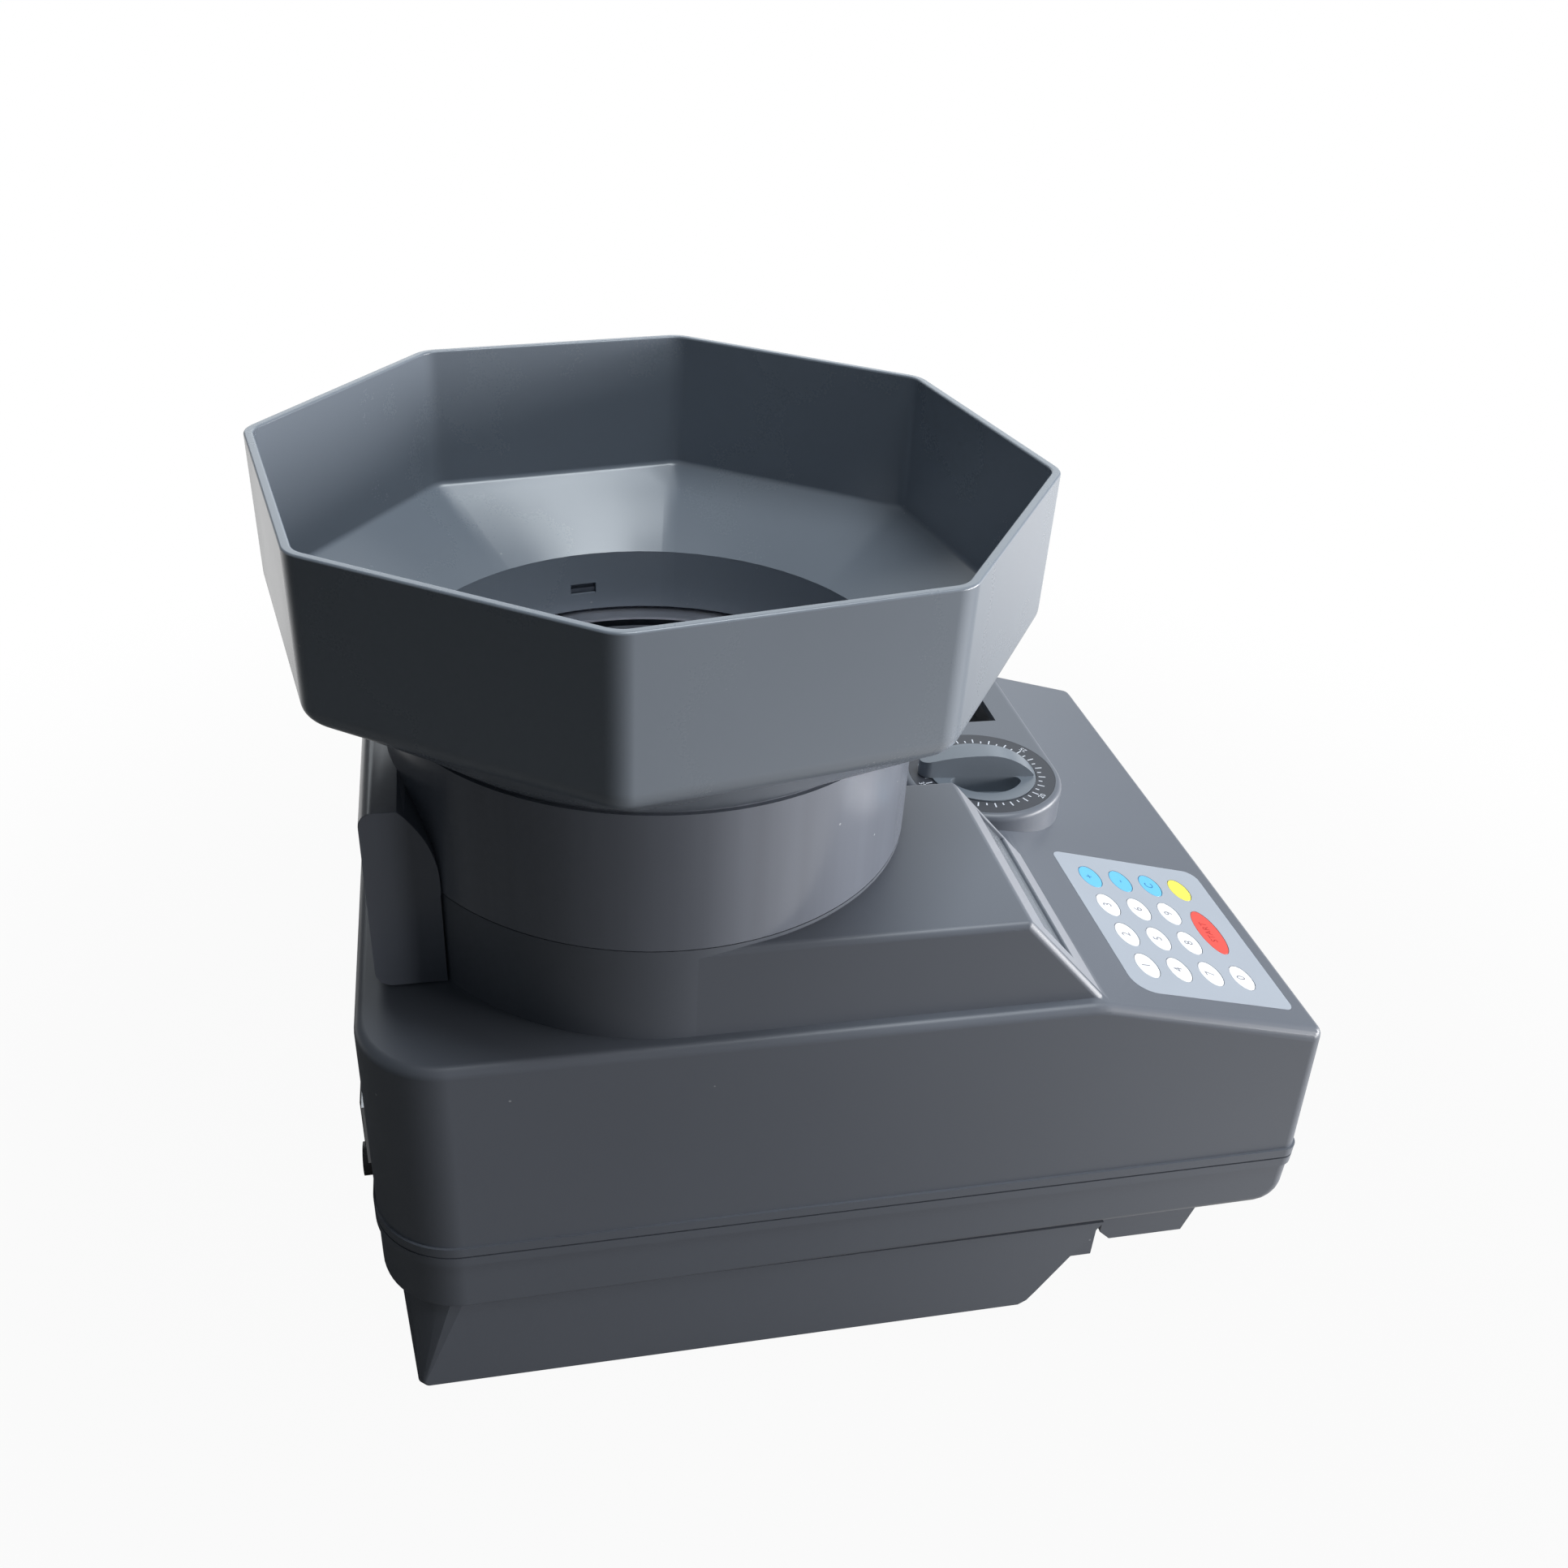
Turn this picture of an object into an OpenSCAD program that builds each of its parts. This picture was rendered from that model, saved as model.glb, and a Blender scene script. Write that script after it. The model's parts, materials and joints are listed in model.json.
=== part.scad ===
/* [Levels above the floor] */
// Standing height of the rubber feet
foot_h = 3.5; // [2:0.5:6]
// Underside of the front overhang
shell_bottom_z = 50; // [44:1:60]
// Parting line between the lower shell and the top cover
parting_z = 79; // [72:1:90]
// Flat deck behind the sloped panel
deck_z = 171.5; // [160:0.5:180]
// Top edge of the front, at the foot of the sloped panel
front_top_z = 145.8; // [135:0.2:152]
// Top of the raised platform
platform_z = 209; // [203:0.5:213]
// Seam between the platform and the feed ring
seam_z = 210.6; // [209.5:0.1:216]
// Top of the feed ring
ring_top_z = 266.5; // [262:0.5:275]
// Rim of the hopper
rim_z = 350; // [335:1:370]

/* [Body, measured from the hopper axis] */
// Left side
body_left = 104.5; // [103:0.5:112]
// Right side
body_right = 176.5; // [172:0.5:195]
// Back
body_back = 115; // [112:0.5:125]
// Front at the parting line
body_front = 256.5; // [254:0.5:268]
// Front at the top edge of the sloped panel
front_top_y = 252.6; // [248:0.2:256]
// Where the deck turns into the sloped panel
kink_y = 155; // [150:0.5:160]
// Radius of the two back corners
back_corner_r = 32; // [20:1:34]
// Radius of the two front corners
front_corner_r = 6; // [4.5:0.5:9]
// Radius along the top edges
edge_r = 4; // [3.2:0.1:4.4]
// Radius of the bend between the deck and the sloped panel
kink_r = 30; // [5:1:34]
// Wall of the moulded covers
wall = 3; // [2.4:0.1:3.2]
// How far the belt at the parting line stands out
belt_out = 1; // [0.5:0.1:1.6]
// Height of the belt above and below the parting line
belt_h = 4.6; // [3:0.2:6]
// Open width of the parting groove
groove_w = 0.8; // [0.5:0.1:1.4]

/* [Base housing] */
// How far its sides stand in from the body
base_inset = 1.3; // [0.5:0.1:4]
// Back of the base at the bottom
base_back = 105; // [100:0.5:108]
// Back of the base where it meets the shell
base_back_top = 108.9; // [106:0.1:109.5]
// Radius of the back corners of the base under the shell; they run out to an upright edge at the floor
base_corner_r = 24; // [22:0.5:30]
// Front of the base at the bottom
base_front = 146.6; // [142:0.2:150]
// Front of the base where it meets the overhang
base_front_top = 177.6; // [172:0.2:180]
// Radius of a rubber foot
foot_r = 9; // [7:0.5:11]
// How far the feet stand in from the sides of the base
foot_inset = 18; // [16:0.5:24]

/* [Hopper] */
// Across the flats of the octagonal rim
hopper_flats = 258.6; // [240:0.2:270]
// Turn of the octagon, from the right side to its first corner
hopper_turn = 33.2; // [20:0.1:45]
// Radius of its upright corners
hopper_corner_r = 12; // [8:0.5:16]
// Share of the height above the ring that the funnel takes
funnel_share = 0.3413; // [0.3:0.0001:0.4]
// Thickness of the wall
hopper_wall = 3.2; // [2.6:0.1:4]
// Radius of the bend between wall and funnel
hopper_bend_r = 10; // [6:0.5:12]
// Wall of the spigot that stands in the ring
spigot_wall = 3; // [2.6:0.1:3.4]
// Lower edge of the throat
throat_z = 247; // [246:0.5:250]

/* [Feed ring and hinge] */
// Outer radius of the feed ring
ring_r = 98.5; // [98:0.1:99.5]
// Thickness of the ring
ring_wall = 3.2; // [2.8:0.1:3.4]
// Height of the hinge axis above the deck
hinge_lift = 7.2; // [7:0.1:7.8]
// Distance of the hinge axis behind the ring's outside
hinge_out = 2; // [1.7:0.1:3]
// Radius of the hinge knuckles
knuckle_r = 6.5; // [6:0.1:6.8]
// Radius of the hinge pin
pin_r = 2.5; // [2:0.1:3]
// Half width of the hinge tail
tail_half_w = 57; // [52:0.5:62]
// Half width of the fixed knuckle
barrel_half_w = 37.5; // [30:0.5:42]
// Top of the hinge tail
tail_top_z = 246.7; // [240:0.1:252]

/* [Feed disc and drive] */
// Gap between the feed disc and the throat above it
disc_margin = 11; // [10:0.5:12]
// Top of the feed disc at its rim
disc_z = 244; // [242:0.5:244]
// Radius of the disc shaft
shaft_r = 6; // [5:0.5:8]
// Radial clearance of a shaft that turns in a bore
running_fit = 0.05; // [0.02:0.01:0.09]
// Radius of the pulley on the disc shaft
disc_pulley_r = 45; // [40:1:48]
// Radius of the pulley on the drive motor
motor_pulley_r = 15; // [13:1:18]
// Place of the drive motor
motor_xy = [100, 18]; // [90:1:104]
// Radius of the drive motor
motor_r = 34; // [28:1:36]
// Length of the drive motor
motor_len = 72; // [60:1:76]

/* [Display] */
// Left end of the display window
display_left = -86.5; // [-88:0.5:-80]
// Width of the display window
display_w = 78.5; // [65:0.5:79]
// Distance of the window from the platform's front edge, down the face
display_s = 15.5; // [13:0.5:18]
// Height of the window, down the face
display_h = 20.5; // [16:0.5:21]

/* [Keypad] */
// Centre of the leftmost key column
key_x0 = -74; // [-76:0.1:-72]
// Distance of the first key row below the overlay's upper edge
key_top_margin = 12.5; // [12:0.1:14]
// Spacing of the key columns
key_dx = 19.8; // [18:0.1:20.2]
// Distance of the last key row above the overlay's lower edge
key_low_margin = 15.65; // [14:0.05:17]
// Half width of an oval key
key_a = 7.5; // [6.5:0.1:8]
// Half height of an oval key
key_b = 4.75; // [4:0.05:5.2]
// Half width of the wide key
wide_key_a = 14.5; // [12:0.1:16]
// Half height of the wide key
wide_key_b = 5.6; // [4.5:0.1:6]
// Travel of a key
key_travel = 0.4; // [0.3:0.05:0.45]
// Width of the keypad overlay
overlay_w = 93.5; // [90:0.5:96]
// Height of the keypad overlay, down the panel
overlay_h = 73; // [71:0.5:76]
// Left edge of the overlay
overlay_left = -91.5; // [-93:0.1:-89]
// Distance of the overlay from the panel's lower edge
overlay_foot = 7.93; // [7:0.01:10]
// Thickness of the overlay
overlay_t = 0.8; // [0.6:0.1:1]

/* [Dial] */
// Place of the dial axis
dial_xy = [48.8, -156.8]; // [-160:0.1:60]
// Top of the pedestal
pedestal_z = 178.4; // [177:0.1:182]
// Radius of the pedestal's round ends
pedestal_r = 36.2; // [35.5:0.1:38]
// Distance between the centres of its round ends
pedestal_len = 83; // [78:0.5:86]
// Radius of the scale plate
scale_r = 33; // [31:0.1:33.4]
// Radius of the dial knob
knob_r = 24.2; // [22:0.1:25]
// Reach of the pointer from the dial axis
pointer_r = 29.4; // [27:0.1:30]
// Height of the grip bar above the scale plate
grip_h = 11.5; // [8:0.1:14]
// Width of the grip bar
grip_w = 10; // [8:0.1:12]
// Direction of the pointer at rest
pointer_angle = 85; // [65:1:120]
// Gear module of the pinion under the dial
pinion_module = 0.8; // [0.8]
// Teeth of the pinion
pinion_teeth = 10; // [10]

/* [Coin track] */
// Clear width of the coin track
track_w = 43.4; // [40:0.2:45]
// Depth of the track floor below the deck
track_drop = 16.5; // [16:0.5:17.5]
// Near end of the drop opening, from the hopper axis
drop_x = 93; // [91:0.5:96]
// Length of the drop opening
drop_len = 38; // [34:0.5:40]
// Radius of a track roller
roller_r = 4; // [3.6:0.1:4.4]

/* [Rear panel] */
// Left edge of the rear plate
rear_plate_x = -70; // [-74:0.5:-66]
// Width of the rear plate
rear_plate_w = 66; // [60:0.5:70]
// Lower edge of the rear plate
rear_plate_z = 97; // [95:0.5:100]
// Height of the rear plate
rear_plate_h = 29; // [27:0.5:32]

/* [Hidden] */

$fn = 96;
fine_fn = 160;
small_fn = 32;
cut = 1;
seat_gap = 0.3;

// Colours
housing_colour = [0.36, 0.40, 0.45];
overlay_colour = [0.70, 0.73, 0.77];
steel_colour = [0.72, 0.73, 0.74];
dark_colour = [0.12, 0.13, 0.15];
board_colour = [0.10, 0.35, 0.20];

// The sloped panel
slope_angle = atan((deck_z - front_top_z) / (front_top_y - kink_y));
overlay_s = (front_top_y - kink_y) / cos(slope_angle) - overlay_h - overlay_foot;
key_s0 = overlay_s + key_top_margin;
key_ds = (overlay_h - key_top_margin - key_low_margin) / 3;

// The platform under the feed ring
platform_right = 2.4;
platform_edge_r = 3;
platform_top_y = 123;
platform_foot_y = 156.5;
face_angle = atan((platform_z - deck_z) / (platform_foot_y - platform_top_y));
collar_z = seam_z - 0.2;
ring_bottom_z = seam_z + 0.2;
ring_bore_r = ring_r - ring_wall;
platform_opening_r = 70;

// The hopper
hopper_apothem = hopper_flats / 2;
neck_r = ring_r - 1;
spigot_r = ring_bore_r - seat_gap;
throat_r = spigot_r - spigot_wall;
disc_r = throat_r - disc_margin;
bend_z = ring_top_z + funnel_share * (rim_z - ring_top_z);
funnel_angle = atan((bend_z - ring_top_z) / (hopper_apothem - neck_r));
rim_chamfer = 0.8;
floor_lift = 5.8;
floor_drop = bend_z + 0.3 - ring_top_z - floor_lift;
hopper_corner_c = (hopper_apothem - hopper_corner_r) / cos(22.5);
turn_x = min([for (k = [0:7]) abs(hopper_turn + 45 * k - 180)]);
turn_y = min([for (k = [0:7]) abs(hopper_turn + 45 * k - 90)]);
hopper_reach_x = hopper_corner_c * cos(turn_x) + hopper_corner_r;
hopper_reach_y = hopper_corner_c * cos(turn_y) + hopper_corner_r;

// The snap hooks between hopper and ring
hook_angle = 10.7;
hook_w = 10.6;
hook_z = 254.7;
hook_h = 1.8;
slot_h = 4.5;

// The frame and the mechanism under the disc
base_floor_z = foot_h + wall;
plate_z = platform_z - wall;
plate_t = 5;
post_r = 5;
post_margin = 2.8;
post_xy = (ring_r - wall - post_r - post_margin) / sqrt(2);
bearing_r = 16;
bearing_flange_r = 26;
bearing_bottom_z = 180;
bearing_top_z = 218;
disc_hub_z = 220;
disc_skirt_z = 222;
disc_skirt_t = 4;
disc_plate_t = 4;
pulley_z = 150;
pulley_h = 10;
pulley_flange = 3;
pulley_flange_t = 1.2;
belt_t = 2;
belt_gap = 0.3;
bracket_z = 144;
bracket_t = 3;
bracket_x = 140;
motor_shaft_r = 4;
motor_shaft_dip = 14;
bracket_half_w = motor_r + 3;
bracket_front = motor_r + 1;
bracket_foot = 15;
bracket_bore_r = 11;

// The retaining ring, above the disc's rim and under the throat
retaining_play = 3;
retaining_gap = 0.6;
retaining_t = 1.2;

// The transformer: foot plate, core and winding, each as two corners
transformer_plate = [[-46, 22, 0], [6, 68, 3]];
transformer_core = [[-42, 30, 3], [2, 60, 52]];
transformer_coil = [[-32, 20, 13], [-8, 70, 42]];

// The control board: its corners, standoffs and components
control_low = [-54, -116];
control_high = [50, -30];
control_posts = [4, 6];
control_lift = 5;
control_post_r = 3;
control_chips = [[-40, -80, -20, -60, 3], [0, -100, 26, -90, 9], [-46, -50, -36, -38, 11]];
capacitor_places = [-10, 8, 26];
capacitor_y = -52;
capacitor_r = 6;
capacitor_h = 18;

// The hinge
hinge_z = deck_z + hinge_lift;
hinge_y = ring_r + hinge_out;
tail_back_y = hinge_y + knuckle_r;
tail_front_y = ring_r - 17;
tail_curve_r = 44.8;
tail_curve_z = 215.7;
tail_gap = 1.2;
tail_low_z = 187.5;

// The keypad
key_gap = 0.25;
key_flange = 0.8;
key_flange_t = 0.6;
key_stem_r = 2;
key_stem_h = 1;
overlay_ledge = 5;
overlay_corners = [4, 6, 4, 9.5];
oval_points = 48;
board_t = 1.6;
board_z = -5.8;
dome_h = 1;
lens_t = 1.2;
lens_z = -1.4;
lens_seat = 2;

// The dial
scale_t = 0.6;
knob_top_z = pedestal_z + 0.5;
knob_lift = 14;
knob_floor_t = 2;
knob_rim_w = 6;
knob_shaft_r = 3;
pinion_lift = 5.5;
pinion_h = 5;
pinion_pitch_r = pinion_module * pinion_teeth / 2;
pinion_base_r = pinion_pitch_r * cos(20);
pinion_tip_r = pinion_pitch_r + 0.6;
pinion_root_r = pinion_pitch_r - 0.75;
rack_add = 0.45;
rack_ded = 0.85;
tooth_play = 0.2;
rack_pitch = PI * pinion_module;
rack_teeth = 8;
rack_body_t = 4;

// The coin track
track_y = dial_xy[1];
track_side = track_w / 2;
track_wall = 2.5;
track_floor_t = 3;
slide_x1 = -platform_right - wall - 1.1;
slide_w = 42;
track_x0 = slide_x1 - slide_w + 2.5;
track_x1 = drop_x + drop_len + track_wall;
track_z = deck_z - track_drop;
knob_floor_z = track_z + knob_lift;
pinion_z = track_z + pinion_lift;
track_wall_z = track_z + 12.5;
track_low_wall_z = track_z + 3;
track_low_x = 29;
track_high_x = 88;
coin_gap = 3.6;
roller_z = track_z + coin_gap + roller_r;
feed_roller_x = 35;
exit_roller_x = 80;
axle_r = 2;
pulley_y = track_y + track_side + track_wall + 0.4;
small_pulley_r = 4.2;
small_pulley_w = 5;
small_belt_t = 1;
roller_motor_x = 54;
roller_motor_z = 132;
roller_motor_r = 14;
roller_motor_len = 32;
motor_plate_y = pulley_y + small_pulley_w + 0.7;
motor_plate_t = 2.5;
slide_slot_x = 60;
slide_slot_w = 12;
slide_y0 = -178;
slide_y1 = -150;
rail_x0 = 44;
rail_x1 = 72;
rail_t = 5;
rail_z = track_z + 0.3;
rail_width_rest = 25;

// The spouts
spout_x0 = -92;
spout_x1 = 131;
spout_y0 = 184;
spout_y1 = 230.5;
spout_lean = 8;
spout_chamfer = 5;
spout_z = 25;
spout_wall = 2.2;
spout_flange = 3;
reject_x0 = -92;
reject_x1 = -52;
reject_y0 = 153;
reject_y1 = 182;
reject_z = 16.5;
reject_wall = 2;

// The rear panel
panel_t = 1.5;
rim_t = 1;
inlet_x = rear_plate_x + 21;
inlet_w = 28;
inlet_h = 21;
switch_x = rear_plate_x + 50;
switch_w = 15;
switch_h = 21;
switch_wall = 1.2;
rear_mid_z = rear_plate_z + rear_plate_h / 2;
rocker_r = 8.8;
rocker_axle_r = 1.2;
rocker_tilt = 8;
rocker_y = 114.5;
fuse_x = -61;
fuse_z = 90.4;
fuse_r = 6.5;

// The origin lies on the floor under the middle of the bounding box
module place() {
  translate([(hopper_reach_x - body_right - belt_out) / 2, (body_front + belt_out - hopper_reach_y) / 2, 0]) children();
}

// A point list along an arc
function arc(c, r, a0, a1, n) = [for (i = [0:n]) let(a = a0 + (a1 - a0) * i / n) [c[0] + r * cos(a), c[1] + r * sin(a)]];

// A rectangle from the origin, with a radius for each corner from the first, counter-clockwise, grown by g
function round_rect(w, h, r, g) = concat(
  arc([r[0], r[0]], r[0] + g, 180, 270, 8),
  arc([w - r[1], r[1]], r[1] + g, 270, 360, 8),
  arc([w - r[2], h - r[2]], r[2] + g, 0, 90, 8),
  arc([r[3], h - r[3]], r[3] + g, 90, 180, 8));

// The plan outline of the body at the parting line, taken in by d
function body_outline(d) = concat(
  arc([-body_left + front_corner_r, -body_front + front_corner_r], front_corner_r - d, 180, 270, 8),
  arc([body_right - front_corner_r, -body_front + front_corner_r], front_corner_r - d, 270, 360, 8),
  arc([body_right - back_corner_r, body_back - back_corner_r], back_corner_r - d, 0, 90, 24),
  arc([-body_left + back_corner_r, body_back - back_corner_r], back_corner_r - d, 90, 180, 24));

module tube(r_out, r_in, z0, z1) {
  difference() {
    translate([0, 0, z0]) cylinder(r = r_out, h = z1 - z0);
    translate([0, 0, z0 - cut]) cylinder(r = r_in, h = z1 - z0 + 2 * cut);
  }
}

module block(a, b) {
  translate(a) cube([b[0] - a[0], b[1] - a[1], b[2] - a[2]]);
}

// A profile in Y and Z, drawn out along X
module along_x(x0, x1) {
  translate([x0, 0, 0]) rotate([90, 0, 90]) linear_extrude(x1 - x0) children();
}

// A profile in X and Z, drawn out along Y
module along_y(y0, y1) {
  translate([0, y1, 0]) rotate([90, 0, 0]) linear_extrude(y1 - y0) children();
}

// A cylinder along Y from y0 to y1
module rod_y(x, z, r, y0, y1) {
  translate([x, y0, z]) rotate([-90, 0, 0]) cylinder(r = r, h = y1 - y0);
}

// Places children on the sloped panel, s down from the kink, with Z out of the panel
module on_panel(x, s) {
  translate([x, -kink_y, deck_z]) rotate([slope_angle, 0, 0]) translate([0, -s, 0]) children();
}

// Places children on the platform's sloped face, s down from its top edge
module on_face(x, s) {
  translate([x, -platform_top_y, platform_z]) rotate([face_angle, 0, 0]) translate([0, -s, 0]) children();
}

module round_post(r, z0, z1, edge) {
  rotate_extrude($fn = 64) polygon(concat([[0, z0], [r, z0]], arc([r - edge, z1 - edge], edge, 0, 90, 5), [[0, z1]]));
}

// The outside of the top cover without platform and pedestal
module body_solid() {
  post_y = front_top_y - front_corner_r;
  reach = post_y + front_corner_r - edge_r - kink_y;
  post_top_z = deck_z - (reach * sin(slope_angle) + edge_r) / cos(slope_angle) + edge_r;
  hull() {
    for (x = [-body_left + back_corner_r, body_right - back_corner_r])
      translate([x, body_back - back_corner_r, 0]) round_post(back_corner_r, parting_z, deck_z, edge_r);
    for (x = [-body_left + edge_r, body_right - edge_r])
      for (p = arc([-kink_y + kink_r * tan(slope_angle / 2), deck_z - kink_r], kink_r - edge_r, 90, 90 + slope_angle, 3))
        translate([x, p[0], p[1]]) sphere(edge_r, $fn = 32);
    for (x = [-body_left + front_corner_r, body_right - front_corner_r]) {
      translate([x, -post_y, 0]) round_post(front_corner_r, parting_z + belt_h, post_top_z, edge_r);
      translate([x, -body_front + front_corner_r, parting_z]) cylinder(r = front_corner_r, h = belt_h, $fn = 64);
    }
  }
}

// The hollow of the top cover
module body_void() {
  front_y = -front_top_y + wall;
  front_z = deck_z - (-kink_y - front_y) * tan(slope_angle) - wall / cos(slope_angle);
  intersection() {
    translate([0, 0, parting_z - cut]) linear_extrude(deck_z) polygon(body_outline(wall));
    along_x(-body_left, body_right)
      polygon([[body_back, parting_z - cut], [body_back, deck_z - wall],
        [-kink_y + wall * tan(slope_angle / 2), deck_z - wall], [front_y, front_z],
        [-body_front + wall, parting_z - cut]]);
  }
}

// The round wall under the ring and the block with the sloped face
module platform_solid() {
  r = platform_edge_r;
  top_y = platform_top_y - r * tan(face_angle / 2);
  low_z = deck_z - r;
  foot_y = top_y + (platform_z - r - low_z) / tan(face_angle);
  translate([0, 0, deck_z - wall]) cylinder(r = ring_r, h = collar_z - deck_z + wall, $fn = fine_fn);
  hull()
    for (x = [-ring_r + r, -platform_right - r]) {
      translate([x, -r, platform_z - r]) sphere(r, $fn = 32);
      translate([x, -top_y, platform_z - r]) sphere(r, $fn = 32);
      translate([x, -r, low_z]) sphere(r, $fn = 32);
      translate([x, -foot_y, low_z]) sphere(r, $fn = 32);
    }
}

module platform_void() {
  low_z = deck_z - wall - cut;
  top_y = platform_top_y - wall * tan(face_angle / 2);
  foot_y = top_y + (plate_z - low_z) / tan(face_angle);
  translate([0, 0, low_z]) cylinder(r = ring_r - wall, h = plate_z - low_z, $fn = fine_fn);
  along_x(-ring_r + wall, -platform_right - wall)
    polygon([[-wall, low_z], [-wall, plate_z], [-top_y, plate_z], [-foot_y, low_z]]);
  translate([0, 0, platform_z]) cylinder(r = ring_r - wall, h = wall, $fn = fine_fn);
  translate([0, 0, plate_z - cut]) cylinder(r = platform_opening_r, h = wall + 2 * cut);
}

// The pedestal: a block with round ends and a rounded top edge
module pedestal_solid() {
  edge = 3;
  z0 = deck_z - 18;
  side = concat([[pedestal_r, z0]], arc([pedestal_r - edge, pedestal_z - edge], edge, 0, 90, 8));
  half = concat([[0, z0]], side, [[0, pedestal_z]]);
  translate([dial_xy[0], dial_xy[1], 0]) {
    rotate_extrude() polygon(half);
    translate([pedestal_len, 0, 0]) rotate_extrude() polygon(half);
    along_x(0, pedestal_len) {
      polygon(half);
      mirror([1, 0]) polygon(half);
    }
  }
}

module pedestal_void() {
  r = pedestal_r - wall;
  h = 40;
  translate([dial_xy[0], dial_xy[1], pedestal_z - wall - h]) {
    cylinder(r = r, h = h);
    translate([pedestal_len, 0, 0]) cylinder(r = r, h = h);
    translate([0, -r, 0]) cube([pedestal_len, 2 * r, h]);
  }
}

module parting_groove(z0, z1) {
  depth = 1.2;
  translate([0, 0, z0]) linear_extrude(z1 - z0) difference() {
    polygon(body_outline(-belt_out - cut));
    polygon(body_outline(depth - belt_out));
  }
}

module hinge_barrel() {
  foot_front = 9;
  along_x(-barrel_half_w, barrel_half_w) {
    translate([hinge_y, hinge_z]) circle(knuckle_r, $fn = 64);
    translate([hinge_y - foot_front, deck_z - cut]) square([foot_front + knuckle_r, hinge_lift + cut]);
  }
}

// The openings through the top cover
module cover_openings() {
  seat_w = display_w + 2 * lens_seat;
  seat_h = display_h + 2 * lens_seat;
  on_face(display_left, display_s + display_h) translate([0, 0, -wall - cut]) cube([display_w, display_h, wall + 2 * cut]);
  on_face(display_left - lens_seat, display_s + display_h + lens_seat)
    translate([0, 0, -wall - cut]) cube([seat_w, seat_h, wall + cut + lens_z]);
  on_panel(overlay_left, overlay_s + overlay_h) translate([0, 0, -overlay_t])
    linear_extrude(overlay_t + cut) polygon(round_rect(overlay_w, overlay_h, overlay_corners, 0.15));
  on_panel(overlay_left + overlay_ledge, overlay_s + overlay_h - overlay_ledge) translate([0, 0, -wall - cut])
    cube([overlay_w - 2 * overlay_ledge, overlay_h - 2 * overlay_ledge, wall + cut]);
  translate([dial_xy[0], dial_xy[1], pedestal_z - scale_t]) cylinder(r = scale_r + 0.15, h = wall);
  translate([dial_xy[0], dial_xy[1], pedestal_z - wall - cut]) cylinder(r = knob_r + running_fit, h = 2 * wall);
  block([drop_x, track_y - track_side, pedestal_z - wall - cut], [drop_x + drop_len, track_y + track_side, pedestal_z + cut]);
  rear_opening(inlet_x, inlet_w, inlet_h);
  rear_opening(switch_x, switch_w, switch_h);
  rod_y(fuse_x, fuse_z, fuse_r - 1.5, body_back - 2 * wall, body_back + cut);
}

module rear_opening(x, w, h) {
  block([x - w / 2, body_back - 2 * wall, rear_mid_z - h / 2], [x + w / 2, body_back + 2 * wall, rear_mid_z + h / 2]);
}

module top_cover() {
  color(housing_colour) place() difference() {
    union() {
      body_solid();
      translate([0, 0, parting_z]) linear_extrude(belt_h) polygon(body_outline(-belt_out));
      platform_solid();
      pedestal_solid();
      hinge_barrel();
    }
    body_void();
    platform_void();
    pedestal_void();
    cover_openings();
    parting_groove(parting_z, parting_z + groove_w / 2);
    translate([-barrel_half_w - cut, hinge_y, hinge_z]) rotate([0, 90, 0])
      cylinder(r = pin_r + 0.02, h = 2 * (barrel_half_w + cut));
  }
}

// The outside of the lower shell, with a large radius under its front
module lower_solid() {
  nose = front_corner_r;
  side_edge = 1.2;
  hull() {
    for (x = [-body_left + back_corner_r, body_right - back_corner_r])
      translate([x, body_back - back_corner_r, 0]) mirror([0, 0, 1])
        round_post(back_corner_r, -parting_z, -shell_bottom_z, side_edge);
    for (x = [-body_left + nose, body_right - nose]) {
      translate([x, -body_front + nose, shell_bottom_z + 2 * nose]) cylinder(r = nose, h = parting_z - shell_bottom_z - 2 * nose, $fn = 64);
      for (p = arc([-body_front + 2 * nose, shell_bottom_z + 2 * nose], nose, 180, 270, 4))
        translate([x, p[0], p[1]]) sphere(nose, $fn = 32);
    }
  }
}

module lower_void() {
  nose = 2 * front_corner_r;
  intersection() {
    translate([0, 0, shell_bottom_z]) linear_extrude(parting_z) polygon(body_outline(wall));
    along_x(-body_left, body_right)
      polygon(concat([[body_back, shell_bottom_z + wall], [body_back, parting_z + cut], [-body_front + wall, parting_z + cut]],
        arc([-body_front + nose, shell_bottom_z + nose], nose - wall, 180, 270, 8)));
  }
}

module lower_shell() {
  z0 = shell_bottom_z - cut;
  z1 = shell_bottom_z + wall + cut;
  color(housing_colour) place() difference() {
    union() {
      lower_solid();
      translate([0, 0, parting_z - belt_h]) linear_extrude(belt_h) polygon(body_outline(-belt_out));
    }
    lower_void();
    intersection() {
      block([-body_left, -base_front_top + wall, z0], [body_right, base_back_top - 2 * wall, z1]);
      translate([0, 0, z0]) linear_extrude(z1 - z0) polygon(body_outline(base_inset + 2 * wall));
    }
    block([spout_x0 - seat_gap, -spout_y1 - seat_gap, z0], [spout_x1 + seat_gap, -spout_y0 + seat_gap, z1]);
    block([reject_x0 + reject_wall, -reject_y1 + reject_wall, z0], [reject_x1 - reject_wall, -base_front_top + wall + cut, z1]);
    parting_groove(parting_z - groove_w / 2, parting_z);
    screw_places() cylinder(r = screw_r, h = 2 * wall, $fn = small_fn);
  }
}

// The slanted front of the base, at a height above the floor
base_knee_y = base_front + 7;
base_knee_z = foot_h + 7.5;
base_lean = atan((base_front_top - base_knee_y) / (shell_bottom_z - base_knee_z));
base_edge_r = 2;
base_foot_corner_r = 3;

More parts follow.
